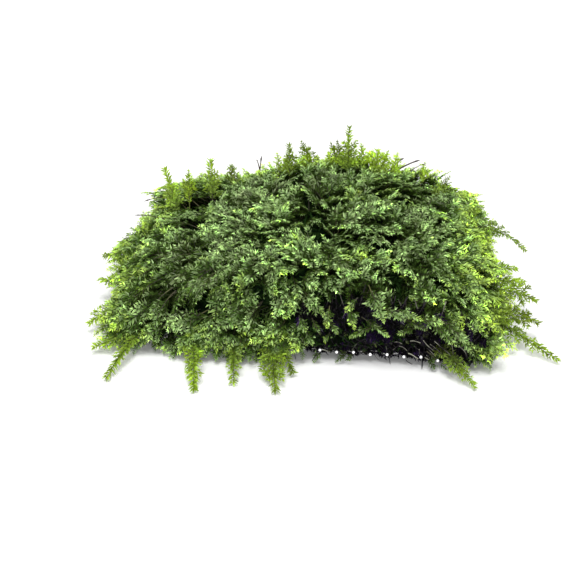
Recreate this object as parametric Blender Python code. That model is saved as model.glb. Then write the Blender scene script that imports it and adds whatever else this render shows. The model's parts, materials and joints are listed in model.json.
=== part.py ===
"""A clump of moss grown on a small rectangle of woven steel wire.

A lumpy green cushion stands on the wire and hangs over its edges. The wire lies on a thin
brown mat of old stems that has grown through to the underside and carries the whole clump.
Longer leafy shoots reach out of the cushion: some lie on the table, some stand up on top.

+X is the clump's right, +Y its back, +Z is up. The origin is on the table, under the middle
of the wire. The script works in metres.
"""

import math
import random

import bmesh
import bpy
from mathutils import Vector, noise
from mathutils.bvhtree import BVHTree

MM = 0.001
GAP = 0.3 * MM  # left between pieces that touch

# Wire: six openings to the inch
WIRE_PITCH = 25.4 * MM / 6
WIRE_DIAMETER = 0.7 * MM
CELLS_WIDE = 20
CELLS_DEEP = 15
WIRE_STUB = 1.2 * MM  # cut ends past the last crossing
WIRE_HEIGHT = 3.4 * MM  # middle of the weave above the table
WEAVE_GAP = 0.25 * MM  # between two wires where they cross
EDGE_DROOP = 1.2 * MM  # the wire bends down at its left and right edges
DROOP_FROM = 34 * MM
WIRE_HALF_WIDTH = WIRE_PITCH * CELLS_WIDE / 2
WIRE_HALF_DEPTH = WIRE_PITCH * CELLS_DEEP / 2
WEAVE_RISE = (WIRE_DIAMETER + WEAVE_GAP) / 2

# Mat of old stems under the wire
MAT_HALF_WIDTH = 33 * MM
MAT_HALF_DEPTH = 23.5 * MM
MAT_CORNERS = 44
MAT_HEIGHT = WIRE_HEIGHT - WEAVE_RISE - WIRE_DIAMETER / 2 - GAP

# Cushion
REACH_LEFT = 48.5 * MM
REACH_RIGHT_BACK = 50 * MM
REACH_RIGHT_FRONT = 57 * MM  # the front right spreads furthest
REACH_FRONT = 37.5 * MM
REACH_BACK = 38.5 * MM
ROUNDING = 0.26  # 0 is a rectangle in plan, 1 an ellipse
CROWN_GRID = (27, 21)
CROWN_FULLNESS = 0.36  # smaller is boxier
CROWN_HEIGHT = 29.5 * MM
BACK_RISE = 3.5 * MM  # the crown is higher towards the back
LEFT_DROP = 9 * MM  # and lower towards both sides
RIGHT_DROP = 2.5 * MM
PEAK_X = 12 * MM
RIM_HEIGHT = 7 * MM
CEILING = WIRE_HEIGHT + WEAVE_RISE + WIRE_DIAMETER / 2 + GAP
LUMP_SIZE = 13 * MM
LUMP_RISE = 2.2 * MM
TUFT_RISE = 1.3 * MM
# Hollows between the tufts: middle across and deep in plan, half width, half depth, how far in
HOLLOWS = (
    (4, -8.5, 7.5, 4.5, 3.8),
    (-33, 14, 5.5, 4.0, 3.0),
    (-31, 1, 5.0, 4.0, 3.0),
    (-10.6, -13.7, 4.0, 4.0, 2.5),
    (37.5, 12, 4.0, 4.0, 2.5),
    (28.9, -26.2, 4.0, 3.0, 2.5),
    (1.5, -30.3, 3.5, 2.5, 3.0),
    (8.5, -36.3, 5.5, 1.8, 3.5),
    (19.4, -36.3, 4.5, 1.8, 3.5),
    (27.5, -34.5, 4.5, 2.0, 3.0),
    (-22.5, -34.5, 3.5, 2.2, 3.0),
)
# (inset, height) of the rings below the rim, for the fringe that hangs to the table and for
# the stretch at the front right where the dark old growth shows above the cut wires
FRINGE_RINGS = ((0.4 * MM, 4.4 * MM), (1.6 * MM, 2.2 * MM), (3.4 * MM, 1.0 * MM))
BARE_RINGS = ((2.4 * MM, 9.2 * MM), (5.0 * MM, 7.0 * MM), (6.6 * MM, 5.4 * MM))
BARE_RIM = 11.5 * MM
BARE_FROM, BARE_TO = 2.5 * MM, 44 * MM
BARE_BLEND = 6 * MM
BARE_STEP_BACK = 2.2 * MM  # of the cushion's edge, so the cut ends stand out there
FRINGE_EDGE = 1.2 * MM  # height of the inner edge of the fringe
RECESS_MARGIN = 0.8 * MM  # around the wire's cut ends

# Shoots: base inside the cushion, tip, upward bow, half width at the widest, roll in degrees
SHOOTS = {
    "shoot_front_far_left": ((-37, -30, 3.5), (-43.1, -47.9, 1.3), 1.0, 1.9, 0),
    "shoot_front_left": ((-24.5, -28, 4), (-20.8, -50.1, 1.2), 1.2, 2.3, 0),
    "shoot_front_middle": ((-14, -28, 4), (-11.6, -46.1, 1.2), 0.8, 1.9, 0),
    "shoot_front": ((-5, -28, 4), (-0.9, -48.2, 1.2), 1.0, 2.3, 0),
    "shoot_front_short": ((-5, -29, 5), (2.6, -40.6, 1.4), 0.6, 1.2, 0),
    "shoot_front_right": ((36, -30, 6), (47.6, -40.8, 1.2), 0.6, 1.7, 0),
    "shoot_right_low": ((42, -12, 6), (67.9, -27.3, 1.6), 0.4, 2.0, -15),
    "shoot_right_middle": ((42, -20, 8), (62.6, -18.2, 6.5), 1.2, 1.8, -20),
    "shoot_right_upper": ((42, -11, 10), (61.9, -10.4, 8), 1.6, 1.8, -20),
    "shoot_right_side": ((42, -11, 9), (58.5, -6, 11), 0.8, 1.2, -20),
    "shoot_right_inner": ((42, -6, 11), (56.4, -1.4, 12), 0.6, 1.2, -20),
    "shoot_right_high": ((38, 16, 16), (59, 6.6, 13), 1.5, 1.3, -15),
    "shoot_left_back": ((-40, -4, 8), (-53.5, -3.1, 9), 0.6, 1.6, 20),
    "shoot_left_middle": ((-40, -14, 7), (-52.4, -12.6, 7), 0.6, 1.6, 20),
    "shoot_left_low": ((-40, -20, 6), (-52.0, -27.6, 3.3), 1.2, 2.2, 20),
    "shoot_left_front": ((-38, -30, 4), (-48.4, -36.8, 2.1), 0.6, 1.8, 10),
    "shoot_top_left": ((-36, 12, 14), (-40.6, 19, 24.7), 0.4, 1.5, 0),
    "shoot_top_back_left": ((-27, 16, 16), (-28.2, 21, 27.1), 0.3, 1.7, 0),
    "shoot_top_middle": ((-6, 20, 22), (-6.6, 24, 31.6), 0.3, 1.3, 0),
    "shoot_top_tall": ((10, 20, 22), (9.9, 23, 38.4), 0.2, 1.7, 0),
    "shoot_top_right": ((18, 20, 22), (17.4, 25, 30.8), 0.4, 1.3, 0),
}
SHOOT_POINTS = 12
SHOOT_FLATNESS = 0.5  # thickness over width
TOOTH_DEPTH = 0.3  # how far the outline steps in between two leaves
STEM_SHARE = 0.25  # bare stem's radius over the widest

WIRE_STEEL = (0.62, 0.63, 0.64), 0.3, 1.0
OLD_BROWN = (0.09, 0.06, 0.035), 0.95, 0.0
MOSS_GREEN = (0.10, 0.19, 0.045), 0.75, 0.0
SHOOT_GREEN = (0.20, 0.31, 0.045), 0.7, 0.0


def cleared_scene():
    for found in list(bpy.data.objects):
        bpy.data.objects.remove(found)


def collection(name):
    made = bpy.data.collections.new(name)
    bpy.context.scene.collection.children.link(made)
    return made


def material(name, look):
    colour, roughness, metallic = look
    made = bpy.data.materials.new(name)
    made.use_nodes = True
    shader = made.node_tree.nodes["Principled BSDF"]
    shader.inputs["Base Color"].default_value = (*colour, 1)
    shader.inputs["Roughness"].default_value = roughness
    shader.inputs["Metallic"].default_value = metallic
    return made


def mesh_object(name, bm, look, group):
    bmesh.ops.recalc_face_normals(bm, faces=bm.faces[:])
    if bm.calc_volume(signed=True) < 0:
        bmesh.ops.reverse_faces(bm, faces=bm.faces[:])
    mesh = bpy.data.meshes.new(name)
    bm.to_mesh(mesh)
    bm.free()
    mesh.materials.append(look)
    made = bpy.data.objects.new(name, mesh)
    group.objects.link(made)
    return made


def smoothstep(low, high, value):
    share = min(max((value - low) / (high - low), 0), 1)
    return share * share * (3 - 2 * share)


def mix(a, b, share):
    return a + (b - a) * share


# Wire


def droop(x):
    return EDGE_DROOP * smoothstep(DROOP_FROM, WIRE_HALF_WIDTH + WIRE_STUB, abs(x))


def wire(name, points, look, group):
    """One wire: a square-section tube through its crossings."""
    curve = bpy.data.curves.new(name, "CURVE")
    curve.dimensions = "3D"
    curve.bevel_depth = WIRE_DIAMETER / 2
    curve.bevel_resolution = 0
    curve.use_fill_caps = True
    curve.materials.append(look)
    line = curve.splines.new("POLY")
    line.points.add(len(points) - 1)
    for point, (x, y, z) in zip(line.points, points):
        point.co = (x, y, z, 1)
    made = bpy.data.objects.new(name, curve)
    made.location.z = WIRE_HEIGHT
    group.objects.link(made)


def crossings(cells):
    """Places along one wire: its cut end, each crossing, and the other cut end."""
    half = WIRE_PITCH * cells / 2
    inner = [WIRE_PITCH * i - half for i in range(cells + 1)]
    return [-half - WIRE_STUB, *inner, half + WIRE_STUB]


def weave(look, group):
    """Plain weave: each wire goes over one and under the next, and its neighbours do the opposite."""
    across, deep = crossings(CELLS_WIDE), crossings(CELLS_DEEP)
    for i, x in enumerate(across[1:-1], start=1):
        rises = [0, *(WEAVE_RISE * (-1) ** (i + j) for j in range(1, len(deep) - 1)), 0]
        points = [(x, y, rise - droop(x)) for y, rise in zip(deep, rises)]
        wire(f"mesh_wire_short_{i:02d}", points, look, group)
    for j, y in enumerate(deep[1:-1], start=1):
        rises = [0, *(-WEAVE_RISE * (-1) ** (i + j) for i in range(1, len(across) - 1)), 0]
        points = [(x, y, rise - droop(x)) for x, rise in zip(across, rises)]
        wire(f"mesh_wire_long_{j:02d}", points, look, group)


# Mat of old stems


def rhizoid_mat(look, group):
    bm = bmesh.new()
    bmesh.ops.create_cone(
        bm, cap_ends=True, segments=MAT_CORNERS, radius1=1, radius2=0.95, depth=MAT_HEIGHT
    )
    for vert in bm.verts:
        angle = math.atan2(vert.co.y, vert.co.x)
        squareness = (abs(math.cos(angle)) ** 3 + abs(math.sin(angle)) ** 3) ** (-1 / 3)
        raggedness = 1 + 0.05 * noise.noise(Vector((3 * math.cos(angle), 3 * math.sin(angle), 0)))
        vert.co.x *= MAT_HALF_WIDTH * squareness * raggedness
        vert.co.y *= MAT_HALF_DEPTH * squareness * raggedness
        vert.co.z += MAT_HEIGHT / 2
    mesh_object("rhizoid_mat", bm, look, group)


# Cushion


def plan_point(u, v):
    """The place in plan of a point of the square from -1 to 1: a wavy rounded rectangle."""
    right = mix(REACH_RIGHT_FRONT, REACH_RIGHT_BACK, smoothstep(-1, 0.5, v))
    x = (right if u > 0 else REACH_LEFT) * u * math.sqrt(1 - ROUNDING * v * v / 2)
    y = (REACH_BACK if v > 0 else REACH_FRONT) * v * math.sqrt(1 - ROUNDING * u * u / 2)
    angle = math.atan2(y, x)
    wave = 1 + 0.012 * math.sin(5 * angle + 0.6) + 0.012 * math.sin(7 * angle + 2.1)
    return Vector((x * wave, y * wave, 0))


def crown_height(place):
    """Height of the crown before it rounds off: a peak right of centre, lower at the sides."""
    height = CROWN_HEIGHT + BACK_RISE * place.y / REACH_BACK
    if place.x < PEAK_X:
        return height - LEFT_DROP * smoothstep(0, 45 * MM, PEAK_X - place.x)
    return height - RIGHT_DROP * smoothstep(0, 35 * MM, place.x - PEAK_X)


def bareness(place):
    """1 at the front right, where the fringe is missing, and 0 elsewhere."""
    along = smoothstep(BARE_FROM - BARE_BLEND, BARE_FROM + BARE_BLEND, place.x)
    along *= 1 - smoothstep(BARE_TO - BARE_BLEND, BARE_TO + BARE_BLEND, place.x)
    return along * smoothstep(REACH_FRONT * 0.4, REACH_FRONT * 0.7, -place.y)


def lift_and_step(place):
    """How far the cushion's edge is raised there and stepped back: it clears the wire first."""
    bare = bareness(place)
    return smoothstep(0, 0.4, bare), smoothstep(0.7, 1, bare)


def lumps(place, seed):
    soft = noise.noise(place / LUMP_SIZE + Vector((0, 0, 7)))
    return LUMP_RISE * soft + TUFT_RISE * seed.uniform(-1, 1)


def hollow_depth(place, inward):
    """How far the crown sinks in there. A hollow fades out before the rim."""
    x, y = place.x / MM, place.y / MM
    found = max(deep * math.exp(-(((x - a) / w) ** 2) - ((y - b) / d) ** 2) for a, b, w, d, deep in HOLLOWS)
    return found * smoothstep(0.1, 0.3, inward) * MM


def crown(bm):
    """The domed top as a grid. It returns each vertex's place on the square."""
    wide, deep = CROWN_GRID
    bmesh.ops.create_grid(bm, x_segments=wide, y_segments=deep, size=1)
    squares = {}
    seed = random.Random(4)
    for vert in bm.verts:
        u, v = (math.sin(math.pi / 2 * share) for share in vert.co.xy)
        squares[vert] = u, v
        place = plan_point(u, v)
        inward = max((1 - u * u) * (1 - v * v), 0) ** CROWN_FULLNESS
        rim = mix(RIM_HEIGHT, BARE_RIM, bareness(place))
        place.z = rim + (crown_height(place) - rim) * inward
        outward = Vector((u, v, 0.25 + inward)).normalized()
        vert.co = place + outward * (lumps(place, seed) - hollow_depth(place, inward))
    return squares


def ring_place(u, v, level, seed):
    """A vertex of the ring at that level below the rim."""
    place = plan_point(u, v)
    lift, step = lift_and_step(place)
    inset = mix(FRINGE_RINGS[level][0], BARE_RINGS[level][0], step)
    height = mix(FRINGE_RINGS[level][1], BARE_RINGS[level][1], lift)
    place -= place.normalized() * (inset + TUFT_RISE * seed.uniform(-0.4, 0.4))
    place.z = height
    return place


def recess_place(u, v, level):
    """A vertex of the recess that holds the wire: its lower edge, then its ceiling."""
    reach = WIRE_STUB + RECESS_MARGIN
    place = Vector((u * (WIRE_HALF_WIDTH + reach), v * (WIRE_HALF_DEPTH + reach), 0))
    lift, step = lift_and_step(place)
    place.y += BARE_STEP_BACK * step
    place.z = CEILING if level else mix(FRINGE_EDGE, CEILING + 0.4 * MM, lift)
    return place


def cushion(look, group):
    """The crown, its fringe, and the recess that the wire lies in."""
    bm = bmesh.new()
    squares = crown(bm)
    seed = random.Random(11)
    border = [edge for edge in bm.edges if edge.is_boundary]
    levels = [
        lambda u, v: ring_place(u, v, 0, seed),
        lambda u, v: ring_place(u, v, 1, seed),
        lambda u, v: ring_place(u, v, 2, seed),
        lambda u, v: recess_place(u, v, 0),
        lambda u, v: recess_place(u, v, 1),
    ]
    for place_of in levels:
        above = {vert for edge in border for vert in edge.verts}
        made = bmesh.ops.extrude_edge_only(bm, edges=border)["geom"]
        border = [item for item in made if isinstance(item, bmesh.types.BMEdge) and item.is_boundary]
        for vert in {vert for edge in border for vert in edge.verts}:
            source = next(edge.other_vert(vert) for edge in vert.link_edges if edge.other_vert(vert) in above)
            squares[vert] = squares[source]
        bm.verts.index_update()
        for vert in sorted({vert for edge in border for vert in edge.verts}, key=lambda v: v.index):
            vert.co = place_of(*squares[vert])
    bmesh.ops.contextual_create(bm, geom=border)
    tree = BVHTree.FromBMesh(bm)
    mesh_object("moss_cushion", bm, look, group)
    return tree


# Shoots


def shoot_radius(share, index):
    """Half width along a shoot: a bare stem, leaves at full width, then a taper to the tip."""
    opening = mix(STEM_SHARE, 1, smoothstep(0, 0.3, share))
    taper = 1 - 0.78 * share**2.4
    tooth = 1 - TOOTH_DEPTH * (index % 2)
    return opening * taper * tooth


def shoot(name, shape, surface, look, group):
    """A leafy shoot from the cushion's surface to its tip, flat on its lower and upper side."""
    base, tip, bow, half_width, roll = shape
    base, tip = Vector(base) * MM, Vector(tip) * MM
    aim = (base - tip).normalized()
    hit = surface.ray_cast(tip, aim)[0]
    start = hit - aim * (GAP + half_width * MM * STEM_SHARE)
    reach = tip - start
    curve = bpy.data.curves.new(name, "CURVE")
    curve.dimensions = "3D"
    curve.bevel_depth = half_width * MM
    curve.bevel_resolution = 0
    curve.use_fill_caps = True
    curve.materials.append(look)
    line = curve.splines.new("POLY")
    line.points.add(SHOOT_POINTS - 1)
    for index, point in enumerate(line.points):
        share = index / (SHOOT_POINTS - 1)
        rise = bow * MM * 4 * share * (1 - share) / SHOOT_FLATNESS
        point.co = (reach.length * share, 0, rise, 1)
        point.radius = shoot_radius(share, index)
    made = bpy.data.objects.new(name, curve)
    made.location = start
    heading = math.atan2(reach.y, reach.x)
    pitch = math.asin(reach.z / reach.length)
    made.rotation_euler = (math.radians(roll), -pitch, heading)
    made.scale.z = SHOOT_FLATNESS
    group.objects.link(made)


def main():
    cleared_scene()
    group = collection("moss_clump")
    weave(material("steel_wire", WIRE_STEEL), group)
    rhizoid_mat(material("old_stems", OLD_BROWN), group)
    surface = cushion(material("moss", MOSS_GREEN), group)
    fresh = material("young_shoot", SHOOT_GREEN)
    for name, shape in SHOOTS.items():
        shoot(name, shape, surface, fresh, group)


main()
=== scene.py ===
import json
import math

import bmesh
import bpy
import numpy as np
from mathutils import Matrix, Vector, noise
from mathutils.bvhtree import BVHTree

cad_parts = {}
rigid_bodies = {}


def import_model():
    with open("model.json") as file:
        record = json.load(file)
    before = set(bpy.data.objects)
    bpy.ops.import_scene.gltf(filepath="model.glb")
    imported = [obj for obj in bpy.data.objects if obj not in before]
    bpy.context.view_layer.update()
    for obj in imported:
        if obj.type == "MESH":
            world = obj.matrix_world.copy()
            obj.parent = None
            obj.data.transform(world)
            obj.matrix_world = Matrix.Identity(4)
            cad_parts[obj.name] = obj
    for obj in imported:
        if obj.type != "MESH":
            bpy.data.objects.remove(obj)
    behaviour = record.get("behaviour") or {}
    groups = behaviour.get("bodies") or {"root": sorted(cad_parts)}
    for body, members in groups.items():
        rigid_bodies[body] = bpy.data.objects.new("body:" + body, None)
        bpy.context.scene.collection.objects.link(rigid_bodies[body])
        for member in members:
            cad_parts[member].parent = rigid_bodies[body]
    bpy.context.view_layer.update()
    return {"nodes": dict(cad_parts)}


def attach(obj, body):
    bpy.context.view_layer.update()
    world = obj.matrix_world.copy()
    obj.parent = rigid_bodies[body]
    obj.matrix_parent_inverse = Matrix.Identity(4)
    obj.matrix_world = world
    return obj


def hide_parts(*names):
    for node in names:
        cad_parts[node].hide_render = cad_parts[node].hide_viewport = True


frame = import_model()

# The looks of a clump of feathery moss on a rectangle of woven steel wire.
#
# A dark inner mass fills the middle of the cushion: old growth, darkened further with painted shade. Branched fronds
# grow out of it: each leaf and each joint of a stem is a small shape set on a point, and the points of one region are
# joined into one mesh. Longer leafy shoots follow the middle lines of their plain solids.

MM = 0.001
noise.seed_set(3)  # or its vectors follow the clock

# Photograph's camera and light
CAMERA_AZIMUTH = 7
CAMERA_ELEVATION = 32
CAMERA_DISTANCE = 0.42
CAMERA_LENS = 96.65
SENSOR_WIDTH = 36
PHOTO_WIDTH = 576
ORIGIN_PIXEL = (302.5, 291)
ROOM_LIGHT = 0.56

# Cushion, from the solid's own shape
HALF_WIDTH = 50 * MM
HALF_DEPTH = 38 * MM
PEAK_HEIGHT = 30 * MM
MIDDLE = Vector((3 * MM, 2 * MM, 0))
ROUNDNESS = 1.5  # 1 for a ball, more for a rounded box
INSET = 4.8 * MM  # how deep the dark inner mass lies

# The bare stretch at the front right, where old growth shows, and how high it reaches.
# Tables, here and below, are in millimetres.
BARE_FROM, BARE_TO = 3 * MM, 48 * MM
BARE_FRONT = -24 * MM  # it lies in front of this
BARE_ACROSS = (3, 6, 13, 19, 24, 28, 36, 41, 46, 48)
BARE_TOPS = (9.0, 15.5, 17.5, 18.0, 15.0, 15.0, 15.0, 12.0, 9.0, 5.0)

# Hollows that show the dark inside, where nearby fronds also get painted shade: across, deep, high, half width, half
# height along the slope
HOLLOWS = (
    (4.0, -7.0, 26.9, 5.0, 2.8),
    (6.5, 6.0, 28.5, 3.0, 2.0),
    (-34.0, 14.5, 17.0, 4.6, 2.0),
    (-32.0, 2.0, 18.2, 4.2, 2.2),
    (-29.0, -8.5, 18.6, 2.4, 1.8),
    (-10.6, -13.7, 23.8, 2.6, 1.8),
    (37.5, 12.0, 22.0, 2.6, 1.8),
    (2.3, -30.1, 21.7, 2.0, 2.2),
    (-7.7, -28.7, 20.7, 2.0, 1.3),
    (28.9, -26.2, 20.5, 2.4, 1.6),
    (19.4, -36.8, 17.4, 2.6, 2.8),
    (28.2, -34.1, 18.4, 2.8, 1.3),
    (-22.0, -33.3, 13.6, 2.4, 2.1),
    (3.7, -35.5, 15.3, 2.0, 1.5),
    (-3.6, -34.5, 15.8, 2.2, 1.7),
    (-29.4, -31.3, 11.2, 2.2, 1.9),
    (-12.7, -38.0, 9.4, 2.2, 2.2),
    (29.7, -36.4, 15.3, 2.2, 1.7),
    (-30.5, -37.0, 6.4, 2.4, 2.0),
    (-1.0, -34.4, 3.8, 3.0, 2.0),
    (43.8, -35.8, 6.9, 2.2, 3.0),
)

# Tufts of paler fronds on top: across, deep, half width, half depth
PALE_TUFTS = (
    (12, -22, 6.0, 4.5),
    (36, 6, 4.0, 3.0),
    (20, 22, 9.0, 4.0),
    (-4, -25, 5.0, 3.5),
    (-14, 2, 7.0, 4.0),
    (-38, -10, 5.0, 5.0),
)

# Flanks and spots with painted shade, partly older and darker growth, the same way, and how dark each is: below 0 it
# is paler, painted light
PAINTED_SHADE_AND_LIGHT_SPOTS = (
    (-24, -34, 28, 14, 0.55),
    (-50, -6, 14, 22, 0.5),
    (4, 24, 16, 8, 0.5),
    (24, -37, 26, 7, 0.7),
    (50, -14, 12, 22, 0.5),
    (14, 15, 24, 8, 0.35),
    (-15, 8, 9, 8, 0.5),
    (10, 5, 16, 9, 1.0),
    (34, 8, 10, 9, 0.6),
    (-5, -19, 12, 7, -0.8),
    (20, -28, 12, 6, -0.7),
    (11, -8, 7, 4, -0.4),
    (36, -25, 6, 5, 0.4),
    (-31, 11, 8, 8, 1.0),
    (-38, 21, 5, 5, 0.5),
)

# Where the fronds stand further out than the solid, or less far:
# across, deep, half width, half depth, rise
BULGES = (
    (-51, 3, 6, 7, 4.6),
    (-45, 15, 6, 7, -2.6),
    (-45, 24, 8, 6, -3.2),
    (-51, -19, 7, 8, -3.4),
    (53, -29, 7, 7, -1.5),
    (49, 6, 5, 6, -2.2),
    (48, -3, 5, 6, -2.4),
    (36, 24, 7, 5, 2.2),
    (42, 29, 6, 5, 2.0),
    (9, -36, 6, 3, 1.8),
    (22, -36, 8, 3, 1.8),
    (48, -35, 4, 3, -2.8),
    (53, -25, 3, 5, 1.5),
)

# Wire
WIRE_PITCH = 25.4 * MM / 6
WIRE_DIAMETER = 0.7 * MM
CELLS_WIDE = 20
CELLS_DEEP = 15
WIRE_STUB = 1.2 * MM
WIRE_HEIGHT = 3.4 * MM
WEAVE_RISE = 0.475 * MM
EDGE_DROOP = 1.2 * MM
DROOP_FROM = 34 * MM
BRIGHT_ENDS = range(12, 20)  # the cut ends in the bare stretch
CLEAR_RADIUS = 0.64 * MM  # kept free of leaves before each of them, on the camera's side
TO_CAMERA = (0.10, -0.84, 0.53)  # which way the camera lies
STEPS_PER_CELL = 4
STUB_WAVE = 0.3  # how much of the weave's wave is left at a cut end
CUT_SLANT = 0.45  # how far each end leans back, by its height

# Leaves
LEAF_LENGTH = 1.65 * MM
LEAF_SPACING = 0.52 * MM
LEAF_ANGLE = 46
STEM_RADIUS = 0.10 * MM
FROND_SPACING = 2.2 * MM
TRIES = 12  # random places tried for each frond that fits
FRINGE_ROWS = ((3.2, 1.9), (6.5, 2.3))  # height over the floor and spacing
FOOT_LENGTH = 300  # round the cushion's foot
FOOT_REACH = 6 * MM  # how far a long shoot's foot makes the fronds beside it young
HOLLOW_REACH = 9  # how far above and below its place a hollow opens the fronds
FLOOR_CLEARANCE = 0.15 * MM
DEPTH_CELLS = 44  # from the top of the cushion to its foot
INNER_LEAVES = 9000
WIRE_LEAVES = 900
OLD_FRONDS = 320
THIN_STEMS = 150
MAT_HALF_WIDTH, MAT_HALF_DEPTH = 33, 23.5  # in millimetres, like its fibres
MAT_FIBRES = 900

# Where each piece's random draws start
SEEDS = {
    "places": 21, "fringe": 5, "cushion": 40, "inside": 61, "old stems": 71,
    "old fronds": 72, "wire": 73, "mat": 81, "shoots": 200, "rim": 300,
}


def smoothstep(low, high, value):
    share = np.clip((value - low) / (high - low), 0, 1)
    return share * share * (3 - 2 * share)


def mix(a, b, share):
    return a + (b - a) * share


def mm(*values):
    return np.array(values) * MM


def unit(vectors):
    vectors = np.asarray(vectors)
    return vectors / np.maximum(np.linalg.norm(vectors, axis=-1, keepdims=True), 1e-9)


def dot(a, b):
    return np.sum(a * b, axis=-1, keepdims=True)


# Materials


def joined(tree, socket, value):
    """Gives a socket a number, a colour or another socket's output."""
    if isinstance(value, bpy.types.NodeSocket):
        tree.links.new(value, socket)
    else:
        socket.default_value = (*value, 1) if isinstance(value, tuple) else value


def maths(tree, operation, *values, clamp=False):
    made = tree.nodes.new("ShaderNodeMath")
    made.operation = operation
    made.use_clamp = clamp
    for socket, value in zip(made.inputs, values):
        joined(tree, socket, value)
    return made.outputs[0]


def mixed(tree, share, a, b):
    """Colour a where share is 0 and colour b where it is 1."""
    made = tree.nodes.new("ShaderNodeMix")
    made.data_type = "RGBA"
    made.clamp_factor = True
    for index, value in ((0, share), (6, a), (7, b)):
        joined(tree, made.inputs[index], value)
    return made.outputs[2]


def three_colours(tree, share, dark, middle, pale):
    lower = mixed(tree, maths(tree, "MULTIPLY", share, 2.0), dark, middle)
    return mixed(tree, maths(tree, "MULTIPLY_ADD", share, 2.0, -1.0), lower, pale)


def noise_value(tree, scale, detail=2.0, roughness=0.5):
    """Noise over the object's own space, from 0 to 1."""
    place = tree.nodes.new("ShaderNodeTexCoord")
    made = tree.nodes.new("ShaderNodeTexNoise")
    tree.links.new(place.outputs["Object"], made.inputs["Vector"])
    for label, value in (("Scale", scale), ("Detail", detail), ("Roughness", roughness)):
        joined(tree, made.inputs[label], value)
    return made.outputs["Fac"]


def attribute(tree, name):
    made = tree.nodes.new("ShaderNodeAttribute")
    made.attribute_name = name
    return made.outputs["Fac"]


def effect(name, inputs, outputs):
    """A node group that several materials share, from (label, first value) and output labels."""
    tree = bpy.data.node_groups.new(name, "ShaderNodeTree")
    for label, value in inputs:
        kind = "NodeSocketColor" if isinstance(value, tuple) else "NodeSocketFloat"
        socket = tree.interface.new_socket(label, in_out="INPUT", socket_type=kind)
        socket.default_value = (*value, 1) if isinstance(value, tuple) else value
    for label, kind in outputs:
        tree.interface.new_socket(label, in_out="OUTPUT", socket_type=f"NodeSocket{kind}")
    return tree, tree.nodes.new("NodeGroupInput").outputs, tree.nodes.new("NodeGroupOutput").inputs


def placed(tree, group, **values):
    """Puts a shared effect in a material with its own values."""
    made = tree.nodes.new("ShaderNodeGroup")
    made.node_tree = group
    for label, value in values.items():
        joined(tree, made.inputs[label.replace("_", " ").capitalize()], value)
    return made.outputs


BLACK = (0.0, 0.0, 0.0)


def mottle_effect():
    """Three colours in patches."""
    tree, given, out = effect(
        "mottle",
        (("Scale", 400.0), ("Detail", 3.0), ("Contrast", 3.0), ("Shift", 0.0),
         ("Dark", BLACK), ("Middle", BLACK), ("Pale", BLACK)),
        (("Colour", "Color"), ("Share", "Float")),
    )
    found = maths(tree, "SUBTRACT", noise_value(tree, given["Scale"], given["Detail"], 0.62), 0.5)
    share = maths(tree, "MULTIPLY_ADD", found, given["Contrast"], 0.5)
    share = maths(tree, "ADD", share, given["Shift"], clamp=True)
    colour = three_colours(tree, share, given["Dark"], given["Middle"], given["Pale"])
    tree.links.new(colour, out["Colour"])
    tree.links.new(share, out["Share"])
    return tree


def relief_effect():
    """Fine bumps."""
    tree, given, out = effect(
        "fine_relief", (("Scale", 1000.0), ("Strength", 0.5), ("Distance", 0.0001)), (("Normal", "Vector"),)
    )
    bump = tree.nodes.new("ShaderNodeBump")
    tree.links.new(given["Strength"], bump.inputs["Strength"])
    tree.links.new(given["Distance"], bump.inputs["Distance"])
    tree.links.new(noise_value(tree, given["Scale"], 3.0, 0.65), bump.inputs["Height"])
    tree.links.new(bump.outputs["Normal"], out["Normal"])
    return tree


def leaf_tint_effect():
    """A leaf's colour: by its age, with patches over the clump, paler margins that are a painted highlight, a darker
    midrib that is painted shade, and its own tone, which also carries painted shade.
    """
    tree, given, out = effect(
        "leaf_tint",
        (("Dark", BLACK), ("Middle", BLACK), ("Bright", BLACK), ("Margin", BLACK),
         ("Patch scale", 85.0), ("Patch amount", 0.4), ("Margin amount", 0.4), ("Midrib shade", 0.4)),
        (("Colour", "Color"),),
    )
    patch = maths(tree, "SUBTRACT", noise_value(tree, given["Patch scale"], 3.0), 0.5)
    fresh = maths(tree, "MULTIPLY_ADD", patch, given["Patch amount"], attribute(tree, "fresh"))
    fresh = maths(tree, "ADD", fresh, 0.0, clamp=True)
    colour = three_colours(tree, fresh, given["Dark"], given["Middle"], given["Bright"])
    # Paler margins and tip: a painted highlight, whiter in the middle of the clump and yellower on fresh leaves.
    edge = attribute(tree, "margin")
    margin = maths(tree, "MULTIPLY", maths(tree, "POWER", edge, 1.6), given["Margin amount"])
    young_margin = maths(tree, "MULTIPLY_ADD", fresh, 2.2, -1.1, clamp=True)
    colour = mixed(tree, margin, colour, mixed(tree, young_margin, given["Margin"], given["Bright"]))
    # Midrib shade: painted shade along each leaf's fold, lighter towards its edges.
    midrib = maths(tree, "SUBTRACT", 1.0, given["Midrib shade"])
    shade = maths(tree, "MULTIPLY_ADD", edge, given["Midrib shade"], midrib)
    shade = maths(tree, "MULTIPLY", shade, attribute(tree, "tone"))
    toned = tree.nodes.new("ShaderNodeHueSaturation")
    hue = maths(tree, "MULTIPLY_ADD", noise_value(tree, 210.0, 2.0), 0.03, 0.488)
    for label, value in (("Color", colour), ("Value", shade), ("Hue", hue)):
        tree.links.new(value, toned.inputs[label])
    tree.links.new(toned.outputs["Color"], out["Colour"])
    return tree


MOTTLE = mottle_effect()
RELIEF = relief_effect()
LEAF_TINT = leaf_tint_effect()


def new_material(name, roughness, metallic=0.0, specular=0.5):
    made = bpy.data.materials.new(name)
    made.use_nodes = True
    shader = made.node_tree.nodes["Principled BSDF"]
    for label, value in (("Roughness", roughness), ("Metallic", metallic), ("Specular IOR Level", specular)):
        shader.inputs[label].default_value = value
    return made, made.node_tree, shader


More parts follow.
